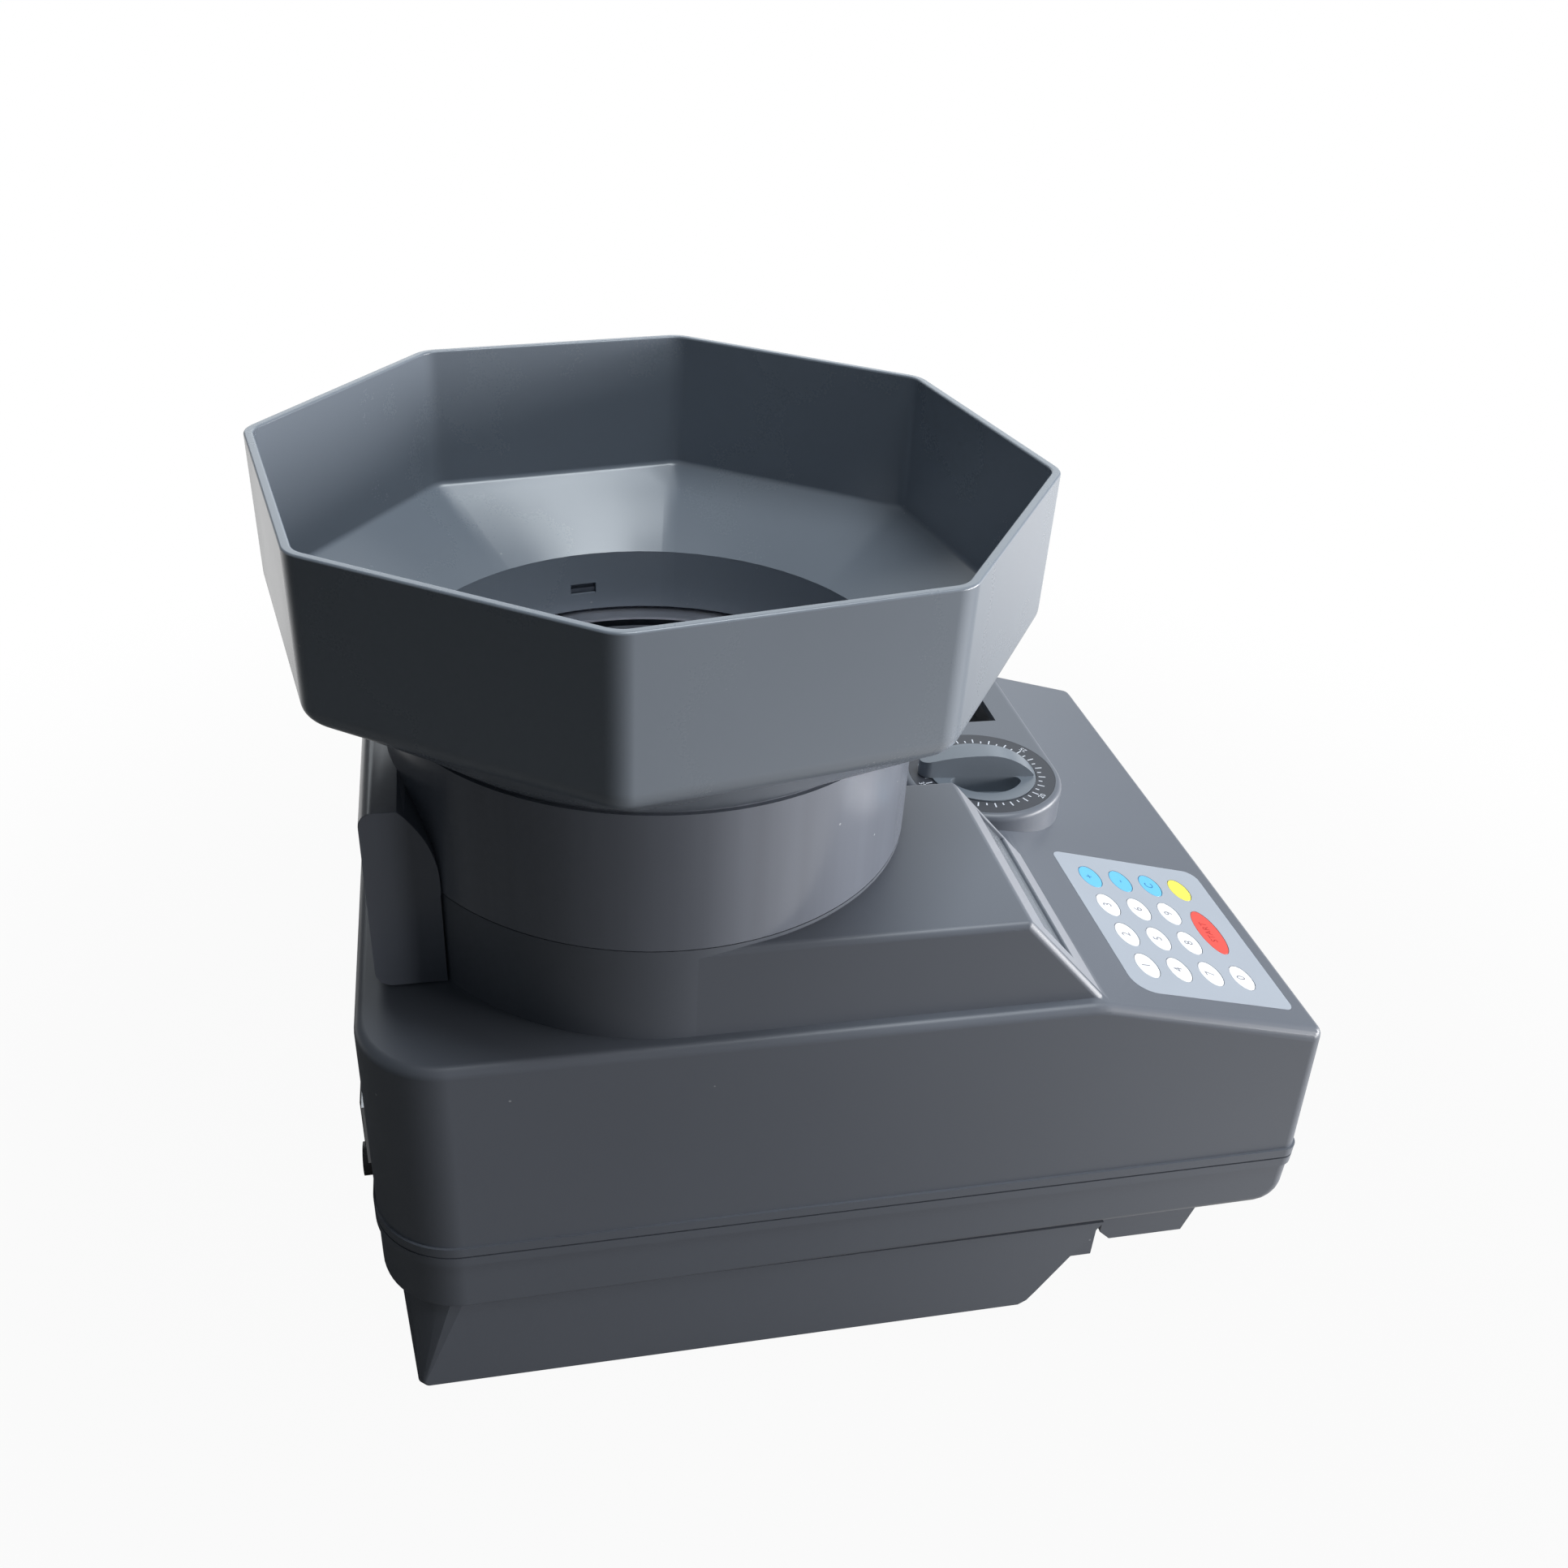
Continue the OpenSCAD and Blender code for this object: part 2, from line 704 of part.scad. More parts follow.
module base_profile(d, top_z) {
  side = d / cos(base_lean);
  front = base_knee_y + (top_z - base_knee_z) * tan(base_lean) - side;
  polygon([[base_back_top + cut, foot_h + d], [base_back_top + cut, top_z], [-front, top_z],
    [-base_knee_y + side, base_knee_z], [-base_front - 3.5 + d, foot_h + 2.2 + d / 2], [-base_front + d, foot_h + d]]);
}

// The base, taken in by d: its back corners are round under the shell and square at the floor
module base_block(d, top_z) {
  x0 = -body_left + base_inset + d;
  w = body_left + body_right - 2 * (base_inset + d);
  y0 = -base_front_top - cut;
  low_z = foot_h + d;
  slab = 0.5;
  intersection() {
    along_x(x0 - cut, x0 + w + cut) base_profile(d, top_z);
    hull()
      for (level = [[low_z - slab, base_back - base_edge_r, base_foot_corner_r], [low_z + base_edge_r, base_back, base_foot_corner_r],
          [top_z, base_back_top, base_corner_r]])
        translate([x0, y0, level[0]]) linear_extrude(slab)
          polygon(round_rect(w, level[1] - d - y0, [1, 1, max(1, level[2] - d), max(1, level[2] - d)], 0));
  }
}

module base_housing() {
  color(housing_colour) place() difference() {
    base_block(0, shell_bottom_z);
    base_block(wall, shell_bottom_z + cut);
    block([reject_x0 - seat_gap, -base_front_top - cut, reject_z - seat_gap], [reject_x1 + seat_gap, -base_front, shell_bottom_z + cut]);
    foot_places() cylinder(r = foot_r, h = foot_seat);
  }
}

foot_seat = 1.5;
module foot_places() {
  for (x = [-body_left + foot_inset, body_right - foot_inset])
    for (y = [base_back - foot_inset, -base_front + foot_inset])
      translate([x, y, foot_h]) children();
}

module rubber_feet() {
  color(dark_colour) place() foot_places() translate([0, 0, -foot_h])
    rotate_extrude() polygon([[0, 0], [foot_r - 1.2, 0], [foot_r - 0.4, 0.8], [foot_r, foot_h], [foot_r, foot_h + foot_seat], [0, foot_h + foot_seat]]);
}

screw_r = 1.6;
screw_head_r = 3.4;
screw_head_h = 1.6;
module screw_places() {
  for (x = [-body_left + 12, body_right - 12])
    translate([x, -body_front + 18, shell_bottom_z - cut]) children();
}

module case_screws() {
  color(steel_colour) place() screw_places() translate([0, 0, cut]) difference() {
    union() {
      translate([0, 0, -screw_head_h]) cylinder(r = screw_head_r, h = screw_head_h, $fn = small_fn);
      cylinder(r = screw_r, h = 2 * wall, $fn = small_fn);
    }
    translate([-screw_head_r, -0.4, -screw_head_h - cut]) cube([2 * screw_head_r, 0.8, cut + 0.8]);
  }
}

module display_lens() {
  play = 0.15;
  color([0.25, 0.28, 0.32, 0.7]) place()
    on_face(display_left - lens_seat + play, display_s + display_h + lens_seat - play)
      translate([0, 0, lens_z - lens_t]) cube([display_w + 2 * (lens_seat - play), display_h + 2 * (lens_seat - play), lens_t]);
}

module display_board() {
  post = 3;
  w = display_w + 2 * lens_seat;
  h = display_h + 2 * lens_seat + 2 * post;
  color(board_colour) place() on_face(display_left - lens_seat, display_s + display_h + lens_seat + post) {
    translate([0, 0, board_z]) cube([w, h, board_t]);
    translate([2 * post, 2 * post, board_z + board_t]) cube([w - 4 * post, h - 4 * post, lens_z - lens_t - 0.2 - board_z - board_t]);
    for (x = [0, w - post])
      for (y = [0, h - post])
        translate([x, y, board_z + board_t]) cube([post - 0.4, post - 0.4, -wall - board_z - board_t]);
  }
}

// Small keys stand in four columns and four rows, with one wide key in the last row
module key_grid() {
  for (i = [0:3])
    for (j = [0:3])
      if (j < 3 || i == 0 || i == 3)
        on_panel(key_x0 + i * key_dx, key_s0 + j * key_ds) children();
}

module wide_key_place() {
  on_panel(key_x0 + 1.5 * key_dx, key_s0 + 3 * key_ds) children();
}

// An oval with half axes a and b
module oval(a, b) {
  polygon([for (i = [0:oval_points - 1]) [a * cos(i * 360 / oval_points), b * sin(i * 360 / oval_points)]]);
}

module keypad_overlay() {
  color(overlay_colour) place() difference() {
    on_panel(overlay_left, overlay_s + overlay_h) translate([0, 0, -overlay_t])
      linear_extrude(overlay_t) polygon(round_rect(overlay_w, overlay_h, overlay_corners, 0));
    key_grid() translate([0, 0, -overlay_t - cut]) linear_extrude(overlay_t + 2 * cut) oval(key_a + key_gap, key_b + key_gap);
    wide_key_place() translate([0, 0, -overlay_t - cut])
      linear_extrude(overlay_t + 2 * cut) oval(wide_key_a + key_gap, wide_key_b + key_gap);
  }
}

module keypad_board() {
  edge = 1;
  rim = 3;
  w = overlay_w - 2 * edge;
  h = overlay_h - 2 * edge;
  color(board_colour) place() {
    on_panel(overlay_left + edge, overlay_s + overlay_h - edge) translate([0, 0, board_z]) difference() {
      cube([w, h, -wall - board_z]);
      translate([rim, rim, board_t]) cube([w - 2 * rim, h - 2 * rim, -board_z]);
    }
    key_grid() translate([0, 0, board_z + board_t]) cylinder(r1 = 3.6, r2 = 2.6, h = dome_h, $fn = 32);
    wide_key_place() translate([0, 0, board_z + board_t]) cylinder(r1 = 3.6, r2 = 2.6, h = dome_h, $fn = 32);
  }
}

// A key cap with its flange under the overlay and the stem over its switch dome
module key_cap(a, b) {
  top = -overlay_t - seat_gap;
  translate([0, 0, top - key_flange_t]) linear_extrude(key_flange_t) oval(a + key_flange, b + key_flange);
  translate([0, 0, top]) linear_extrude(-top) oval(a, b);
  translate([0, 0, top - key_flange_t - key_stem_h]) cylinder(r = key_stem_r, h = key_stem_h, $fn = 48);
}

module small_key(column, row, tint) {
  color(tint) place() on_panel(key_x0 + column * key_dx, key_s0 + row * key_ds) key_cap(key_a, key_b);
}

white_key = [0.86, 0.88, 0.90];
blue_key = [0.45, 0.76, 0.93];
module key_1() { small_key(0, 0, white_key); }
module key_2() { small_key(1, 0, white_key); }
module key_3() { small_key(2, 0, white_key); }
module key_blue_back() { small_key(3, 0, blue_key); }
module key_4() { small_key(0, 1, white_key); }
module key_5() { small_key(1, 1, white_key); }
module key_6() { small_key(2, 1, white_key); }
module key_blue_middle() { small_key(3, 1, blue_key); }
module key_7() { small_key(0, 2, white_key); }
module key_8() { small_key(1, 2, white_key); }
module key_9() { small_key(2, 2, white_key); }
module key_blue_front() { small_key(3, 2, blue_key); }
module key_0() { small_key(0, 3, white_key); }
module key_yellow() { small_key(3, 3, [0.98, 0.94, 0.42]); }

module key_red() { color([0.95, 0.36, 0.33]) place() wide_key_place() key_cap(wide_key_a, wide_key_b); }

module dial_plate() {
  color([0.35, 0.36, 0.39]) place() translate([dial_xy[0], dial_xy[1], 0])
    tube(scale_r, knob_r + 0.5, pedestal_z - scale_t, pedestal_z);
}

// The knob: a round cap with a pocket on each side of the grip bar, whose nose is the pointer
module dial_knob() {
  pocket_r = knob_r - knob_rim_w;
  fillet_r = 3;
  corner = [grip_w / 2 + fillet_r, sqrt(pow(pocket_r - fillet_r, 2) - pow(grip_w / 2 + fillet_r, 2))];
  corner_angle = atan2(corner[1], corner[0]);
  pocket = concat(arc([0, 0], pocket_r, -corner_angle, corner_angle, 24), arc(corner, fillet_r, corner_angle, 180, 6),
    arc([corner[0], -corner[1]], fillet_r, 180, 360 - corner_angle, 6));
  top_z = pedestal_z + grip_h;
  nose_z = pedestal_z + 0.4;
  long_r = 110;
  short_r = 31;
  end_y = -knob_r + 1.5;
  color([0.42, 0.46, 0.51]) place() translate([dial_xy[0], dial_xy[1], 0]) rotate([0, 0, pointer_angle - 90]) {
    difference() {
      translate([0, 0, knob_floor_z]) cylinder(r = knob_r, h = knob_top_z - knob_floor_z);
      for (side = [0, 1])
        mirror([side, 0]) translate([0, 0, knob_floor_z + knob_floor_t]) linear_extrude(knob_top_z) polygon(pocket);
    }
    intersection() {
      translate([0, 0, knob_floor_z + cut]) linear_extrude(top_z) {
        translate([-grip_w / 2, end_y]) square([grip_w, pointer_r - grip_w / 2 - end_y]);
        translate([0, pointer_r - grip_w / 2]) circle(grip_w / 2);
      }
      along_x(-grip_w, grip_w)
        polygon(concat([[end_y, knob_floor_z + cut], [knob_r - 1, knob_floor_z + cut], [knob_r - 1, nose_z], [pointer_r, nose_z]],
          arc([0, top_z - long_r], long_r, 90 - asin(pointer_r / long_r), 90, 6),
          arc([0, top_z - short_r], short_r, 95, 90 + asin(-end_y / short_r), 8)));
    }
    translate([0, 0, pinion_z + pinion_h]) cylinder(r = knob_shaft_r, h = knob_floor_z - pinion_z - pinion_h);
  }
}

// One flank point of an involute tooth, at roll angle t in degrees
function flank(t) = let(u = t * PI / 180) [pinion_base_r * (cos(t) + u * sin(t)), pinion_base_r * (sin(t) - u * cos(t))];
function turned(p, a) = [p[0] * cos(a) - p[1] * sin(a), p[0] * sin(a) + p[1] * cos(a)];
tip_roll = sqrt(pow(pinion_tip_r / pinion_base_r, 2) - 1) * 180 / PI;
pitch_roll = tan(20) * 180 / PI;
tooth_half = 90 / pinion_teeth - tooth_play / 4 / pinion_pitch_r * 180 / PI + pitch_roll - 20;

module dial_pinion() {
  rolls = [for (i = [0:6]) tip_roll * i / 6];
  color(steel_colour) place() translate([dial_xy[0], dial_xy[1], pinion_z]) linear_extrude(pinion_h) {
    circle(pinion_root_r);
    for (k = [0:pinion_teeth - 1])
      rotate([0, 0, k * 360 / pinion_teeth])
        polygon(concat([turned([1, 0], -tooth_half), turned([pinion_base_r, 0], -tooth_half)],
          [for (t = rolls) turned(flank(t), -tooth_half)],
          [for (i = [0:6]) let(p = turned(flank(rolls[6 - i]), -tooth_half)) [p[0], -p[1]]],
          [turned([pinion_base_r, 0], tooth_half), turned([1, 0], tooth_half)]));
  }
}

// The coin guide across the track, moved by its rack
module guide_rail() {
  face_y = track_y - track_side + rail_width_rest;
  rack_x = dial_xy[0] + pinion_pitch_r;
  half_len = rack_teeth * rack_pitch / 2;
  rail_top_z = pinion_z - seat_gap;
  tooth = rack_pitch / 4 - tooth_play / 4;
  color(steel_colour) place() {
    block([rail_x0, face_y, rail_z], [rail_x1, face_y + rail_t, rail_top_z]);
    block([rack_x + rack_ded + seat_gap, face_y, rail_top_z - cut], [rack_x + rack_ded + rack_body_t, face_y + rail_t, pinion_z + cut]);
    translate([rack_x, track_y, pinion_z + 0.3]) linear_extrude(pinion_h - 0.6) {
      translate([rack_ded, -half_len]) square([rack_body_t, 2 * half_len]);
      for (k = [-(rack_teeth - 1) / 2:(rack_teeth - 1) / 2])
        translate([0, k * rack_pitch])
          polygon([[rack_ded + 0.1, -tooth - rack_ded * tan(20)], [rack_ded + 0.1, tooth + rack_ded * tan(20)],
            [-rack_add, tooth - rack_add * tan(20)], [-rack_add, -tooth + rack_add * tan(20)]]);
    }
  }
}

module frame_posts() {
  color(steel_colour) place()
    for (x = [-post_xy, post_xy])
      for (y = [-post_xy, post_xy])
        translate([x, y, base_floor_z]) cylinder(r = post_r, h = plate_z - plate_t - base_floor_z, $fn = 48);
}

module mechanism_plate() {
  color(steel_colour) place() tube(ring_r - wall - 1.5, bearing_r + 0.2, plate_z - plate_t, plate_z);
}

module bearing_housing() {
  color(steel_colour) place() rotate_extrude()
    polygon([[shaft_r + running_fit, bearing_bottom_z], [bearing_r, bearing_bottom_z], [bearing_r, plate_z], [bearing_flange_r, plate_z],
      [bearing_flange_r, plate_z + 5], [bearing_r + 2, plate_z + 7], [bearing_r + 1, bearing_top_z], [shaft_r + running_fit, bearing_top_z]]);
}

// The feed disc, with a cone in its middle and ribs under it
module feed_disc() {
  plate_low = disc_z - disc_plate_t;
  hub_r = 14;
  cone_r = 20;
  cone_h = 16;
  ribs = 6;
  color([0.62, 0.64, 0.66]) place() {
    rotate_extrude($fn = fine_fn)
      polygon([[0, disc_z - 6], [shaft_r, disc_z - 6], [shaft_r, disc_hub_z], [hub_r, disc_hub_z], [hub_r, plate_low],
        [disc_r - disc_skirt_t, plate_low], [disc_r - disc_skirt_t, disc_skirt_z], [disc_r, disc_skirt_z],
        [disc_r, disc_z - 1.5], [disc_r - 1.5, disc_z], [cone_r, disc_z], [shaft_r, disc_z + cone_h - 2], [shaft_r - 2, disc_z + cone_h], [0, disc_z + cone_h]]);
    for (k = [0:ribs - 1])
      rotate([0, 0, k * 360 / ribs]) translate([hub_r - 0.5, -1.5, plate_low - 8]) cube([disc_r - disc_skirt_t - hub_r + 1, 3, 8]);
  }
}

module disc_shaft() {
  color(steel_colour) place() translate([0, 0, pulley_z - 4]) cylinder(r = shaft_r, h = disc_z - 6 - pulley_z + 4);
}

// A belt pulley with flanges, from z = 0 up
module pulley(r, bore) {
  rotate_extrude() polygon([[bore, 0], [r + pulley_flange, 0], [r + pulley_flange, pulley_flange_t], [r, pulley_flange_t + 0.6],
    [r, pulley_h - pulley_flange_t - 0.6], [r + pulley_flange, pulley_h - pulley_flange_t], [r + pulley_flange, pulley_h], [bore, pulley_h]]);
}

module disc_pulley() {
  color(steel_colour) place() translate([0, 0, pulley_z]) pulley(disc_pulley_r, shaft_r);
}

module motor_pulley() {
  color(steel_colour) place() translate([motor_xy[0], motor_xy[1], 0]) {
    translate([0, 0, pulley_z]) pulley(motor_pulley_r, 0);
    translate([0, 0, bracket_z - motor_shaft_dip]) cylinder(r = motor_shaft_r, h = pulley_z - bracket_z + motor_shaft_dip, $fn = 64);
  }
}

// A closed belt round circles given as [x, y, r], as a flat loop of thickness t
module belt_loop(circles, t) {
  difference() {
    hull()
      for (c = circles)
        translate([c[0], c[1]]) circle(c[2] + t);
    hull()
      for (c = circles)
        translate([c[0], c[1]]) circle(c[2]);
  }
}

module drive_belt() {
  side = pulley_flange_t + 0.6 + belt_gap;
  color(dark_colour) place() translate([0, 0, pulley_z + side]) linear_extrude(pulley_h - 2 * side)
    belt_loop([[0, 0, disc_pulley_r + belt_gap], [motor_xy[0], motor_xy[1], motor_pulley_r + belt_gap]], belt_t);
}

module motor_bracket() {
  y0 = motor_xy[1] - bracket_half_w;
  y1 = motor_xy[1] + bracket_half_w;
  color(steel_colour) place() difference() {
    union() {
      block([motor_xy[0] - bracket_front, y0, bracket_z], [bracket_x + bracket_t, y1, bracket_z + bracket_t]);
      block([bracket_x, y0, base_floor_z], [bracket_x + bracket_t, y1, bracket_z + bracket_t]);
      block([bracket_x, y0, base_floor_z], [bracket_x + bracket_foot, y1, base_floor_z + bracket_t]);
    }
    translate([motor_xy[0], motor_xy[1], bracket_z - cut]) cylinder(r = bracket_bore_r, h = 2 * bracket_t);
  }
}

module drive_motor() {
  z0 = bracket_z - motor_len;
  color([0.30, 0.31, 0.33]) place() translate([motor_xy[0], motor_xy[1], 0]) difference() {
    union() {
      translate([0, 0, z0]) cylinder(r = motor_r, h = motor_len);
      translate([0, 0, z0 - 5]) cylinder(r = 14, h = 6);
    }
    translate([0, 0, bracket_z - 16]) cylinder(r = motor_shaft_r + running_fit, h = 20, $fn = 64);
    for (k = [0:11])
      rotate([0, 0, k * 30]) translate([motor_r - 1.5, -3, z0 + 8]) cube([4, 6, motor_len - 16]);
  }
}

// The channel the coins run in, its landing under the feed slide, and its legs
module track_frame() {
  y0 = track_y - track_side;
  y1 = track_y + track_side;
  leg_y = y1 - 1;
  color(steel_colour) place() difference() {
    union() {
      block([track_x0 - track_wall, y0 - track_wall, track_z - track_floor_t], [track_x1 + 8, y1 + track_wall, track_z]);
      track_walls(track_x0 - track_wall, track_x1, track_low_wall_z);
      track_walls(track_low_x, track_x1, track_wall_z);
      track_walls(track_high_x, track_x1, pedestal_z - wall);
      block([track_x0 - track_wall, y0 - track_wall, track_z - track_floor_t], [track_x0, y1 + track_wall, track_low_wall_z]);
      block([track_x1 - track_wall, y0 - track_wall, track_z - track_floor_t], [track_x1, y1 + track_wall, pedestal_z - wall]);
      block([14, leg_y, base_floor_z], [20, motor_plate_y + motor_plate_t, track_z - track_floor_t]);
      block([track_x1 + 2, leg_y - 6, base_floor_z], [track_x1 + 8, leg_y + 2, track_z - track_floor_t]);
      block([14, motor_plate_y, roller_motor_z - 18], [roller_motor_x + 18, motor_plate_y + motor_plate_t, track_z]);
      feed_slide();
    }
    block([drop_x, y0, track_z - 2 * track_floor_t], [drop_x + drop_len, y1, track_z + cut]);
    block([slide_slot_x, slide_y0 + 4, track_z - 2 * track_floor_t], [slide_slot_x + slide_slot_w, slide_y1 - 4, track_z + cut]);
    for (x = [feed_roller_x, exit_roller_x])
      rod_y(x, roller_z, axle_r + running_fit, y0 - 2 * track_wall, y1 + 2 * track_wall);
    rod_y(roller_motor_x, roller_motor_z, 4, motor_plate_y - cut, motor_plate_y + motor_plate_t + cut);
  }
}

module track_walls(x0, x1, z1) {
  for (y = [track_y - track_side - track_wall, track_y + track_side])
    block([x0, y, track_z - track_floor_t], [x1, y + track_wall, z1]);
}

// A sloping trough from the mechanism plate down to the landing of the track
module feed_slide() {
  top_y = -88;
  low_y = track_y + track_side + track_wall;
  top_z = 196;
  side = 4;
  run = low_y - top_y;
  along_x(track_x0 - track_wall, slide_x1)
    polygon([[top_y, top_z], [low_y, track_z], [low_y, track_z - track_floor_t], [top_y, top_z - track_floor_t]]);
  for (x = [track_x0 - track_wall, slide_x1 - track_wall])
    along_x(x, x + track_wall)
      polygon([[top_y, top_z + side], [low_y, track_z + side - cut], [low_y, track_z - track_floor_t], [top_y, top_z - track_floor_t]]);
}

module roller_belt() {
  pulleys = [[feed_roller_x, roller_z, small_pulley_r + belt_gap], [exit_roller_x, roller_z, small_pulley_r + belt_gap],
    [roller_motor_x, roller_motor_z, small_pulley_r + belt_gap]];
  color(dark_colour) place() along_y(pulley_y + 0.5, pulley_y + small_pulley_w - 0.5) belt_loop(pulleys, small_belt_t);
}

module roller_motor() {
  y0 = motor_plate_y + motor_plate_t;
  color([0.30, 0.31, 0.33]) place() difference() {
    union() {
      rod_y(roller_motor_x, roller_motor_z, roller_motor_r, y0, y0 + roller_motor_len);
      rod_y(roller_motor_x, roller_motor_z, 5, y0 + roller_motor_len, y0 + roller_motor_len + 3);
    }
    rod_y(roller_motor_x, roller_motor_z, axle_r + running_fit, y0 - cut, y0 + 12);
  }
}

module roller_drive_pulley() {
  color(steel_colour) place() {
    rod_y(roller_motor_x, roller_motor_z, small_pulley_r, pulley_y, pulley_y + small_pulley_w);
    rod_y(roller_motor_x, roller_motor_z, axle_r, pulley_y, motor_plate_y + motor_plate_t + 10);
  }
}

// A rubber roller across the track, with its axle and pulley
module roller(x) {
  y0 = track_y - track_side;
  rod_y(x, roller_z, roller_r, y0 + 1.5, -y0 + 2 * track_y - 1.5);
  rod_y(x, roller_z, axle_r, y0 - track_wall, pulley_y + 1);
  rod_y(x, roller_z, small_pulley_r, pulley_y, pulley_y + small_pulley_w);
}

module feed_roller() { color(dark_colour) place() roller(feed_roller_x); }
module exit_roller() { color(dark_colour) place() roller(exit_roller_x); }

module coin_sensor() {
  x0 = 86;
  z0 = track_z + coin_gap + 1.5;
  color([0.15, 0.16, 0.18]) place() {
    block([x0, track_y - track_side, z0], [x0 + 5, track_y + track_side, z0 + 6]);
    block([x0 - 1, track_y - 8, z0 + 6], [x0 + 6, track_y + 8, z0 + 9]);
  }
}

module drop_chute() {
  x0 = drop_x - track_wall;
  x1 = drop_x + drop_len + track_wall;
  top_z = track_z - track_floor_t;
  low_z = shell_bottom_z + wall + spout_wall;
  low_y0 = -spout_y1 + spout_wall;
  low_y1 = -spout_y0 - spout_wall;
  y0 = track_y - track_side;
  y1 = track_y + track_side;
  color(steel_colour) place() difference() {
    along_x(x0, x1) polygon([[y0 - track_wall, top_z], [y1 + track_wall, top_z], [low_y1, low_z], [low_y0, low_z]]);
    along_x(drop_x, drop_x + drop_len)
      polygon([[y0, top_z + cut], [y1, top_z + cut], [y1, top_z], [low_y1 - track_wall, low_z],
        [low_y1 - track_wall, low_z - cut], [low_y0 + track_wall, low_z - cut], [low_y0 + track_wall, low_z], [y0, top_z]]);
  }
}

// The wide spout under the front overhang, held by a flange on the floor of the lower shell
module coin_spout() {
  top_z = shell_bottom_z + wall;
  mouth_y0 = -spout_y0 - spout_chamfer;
  mouth_y1 = -spout_y1 + spout_lean;
  color(housing_colour) place() difference() {
    union() {
      along_x(spout_x0, spout_x1)
        polygon([[-spout_y1, top_z], [-spout_y0, top_z], [-spout_y0, spout_z + spout_chamfer], [mouth_y0, spout_z],
          [mouth_y1, spout_z], [-spout_y1, shell_bottom_z]]);
      block([spout_x0 - spout_flange, -spout_y1 - spout_flange, top_z],
        [spout_x1 + spout_flange, -spout_y0 + spout_flange, top_z + spout_wall]);
    }
    along_x(spout_x0 + spout_wall, spout_x1 - spout_wall)
      polygon([[-spout_y1 + spout_wall, top_z + 2 * spout_wall], [-spout_y0 - spout_wall, top_z + 2 * spout_wall],
        [-spout_y0 - spout_wall, spout_z + spout_chamfer + cut], [mouth_y0 - spout_wall, spout_z + cut], [mouth_y0 - spout_wall, spout_z - cut],
        [mouth_y1 + spout_wall, spout_z - cut], [mouth_y1 + spout_wall, spout_z], [-spout_y1 + spout_wall, shell_bottom_z]]);
  }
}

// The trough that takes rejected coins from the slot in the track to the reject spout
module reject_slide() {
  x_top = slide_slot_x + slide_slot_w + 4;
  x_low = -48;
  z_low = 64;
  z_top = 143;
  t = 2;
  side = 6;
  color(steel_colour) place() {
    along_y(slide_y0, slide_y1) polygon([[x_low, z_low], [x_top, z_top], [x_top, z_top - t], [x_low, z_low - t]]);
    for (y = [slide_y0, slide_y1 - t])
      along_y(y, y + t) polygon([[x_low, z_low - t], [x_low, z_low + side], [slide_slot_x - 4, z_top],
        [slide_slot_x - 4, track_z - track_floor_t], [x_top, track_z - track_floor_t], [x_top, z_top - t]]);
    block([x_top - t, slide_y0, z_top - t], [x_top, slide_y1, track_z - track_floor_t]);
    block([x_low, slide_y0, shell_bottom_z + wall], [x_low + 6, slide_y0 + t, z_low]);
  }
}

module reject_spout() {
  color(housing_colour) place() difference() {
    block([reject_x0, -reject_y1, reject_z], [reject_x1, -reject_y0, shell_bottom_z]);
    block([reject_x0 + reject_wall, -reject_y1 + reject_wall, reject_z - cut], [reject_x1 - reject_wall, -reject_y0 - reject_wall, shell_bottom_z + cut]);
  }
}

module transformer() {
  color([0.45, 0.42, 0.38]) place() translate([0, 0, base_floor_z])
    for (part = [transformer_plate, transformer_core, transformer_coil])
      block(part[0], part[1]);
}

module control_board() {
  color(board_colour) place() translate([0, 0, base_floor_z]) {
    for (x = [control_low[0] + control_posts[0], control_high[0] - control_posts[1]])
      for (y = [control_low[1] + control_posts[1], control_high[1] - control_posts[1]])
        translate([x, y, 0]) cylinder(r = control_post_r, h = control_lift, $fn = small_fn);
    block([control_low[0], control_low[1], control_lift], [control_high[0], control_high[1], control_lift + board_t]);
    for (chip = control_chips)
      block([chip[0], chip[1], control_lift + board_t], [chip[2], chip[3], control_lift + board_t + chip[4]]);
    for (x = capacitor_places)
      translate([x, capacitor_y, control_lift + board_t]) cylinder(r = capacitor_r, h = capacitor_h, $fn = 48);
  }
}

module rear_plate() {
  color(steel_colour) place() difference() {
    block([rear_plate_x, body_back, rear_plate_z], [rear_plate_x + rear_plate_w, body_back + panel_t, rear_plate_z + rear_plate_h]);
    rear_opening(inlet_x, inlet_w, inlet_h);
    rear_opening(switch_x, switch_w, switch_h);
  }
}

// A body with a rim over the rear plate, w by h, reaching in by depth
module rear_insert(x, w, h, depth, rim) {
  y = body_back + panel_t;
  block([x - w / 2, y - depth, rear_mid_z - h / 2], [x + w / 2, y, rear_mid_z + h / 2]);
  block([x - w / 2 - rim, y, rear_mid_z - h / 2 - rim], [x + w / 2 + rim, y + rim_t, rear_mid_z + h / 2 + rim]);
}

module power_inlet() {
  y = body_back + panel_t + rim_t;
  depth = 16;
  socket_w = inlet_w - 3.6;
  socket_h = inlet_h - 3.6;
  color(dark_colour) place() {
    difference() {
      rear_insert(inlet_x, inlet_w - 0.4, inlet_h - 0.4, 24, 1);
      block([inlet_x - socket_w / 2, y - depth, rear_mid_z - socket_h / 2], [inlet_x + socket_w / 2, y + cut, rear_mid_z + socket_h / 2]);
    }
    for (p = [[-7, -2.5], [0, 2.5], [7, -2.5]])
      translate([inlet_x + p[0] - 1, y - depth - cut, rear_mid_z + p[1] - 3]) cube([2, depth - 3, 6]);
  }
}

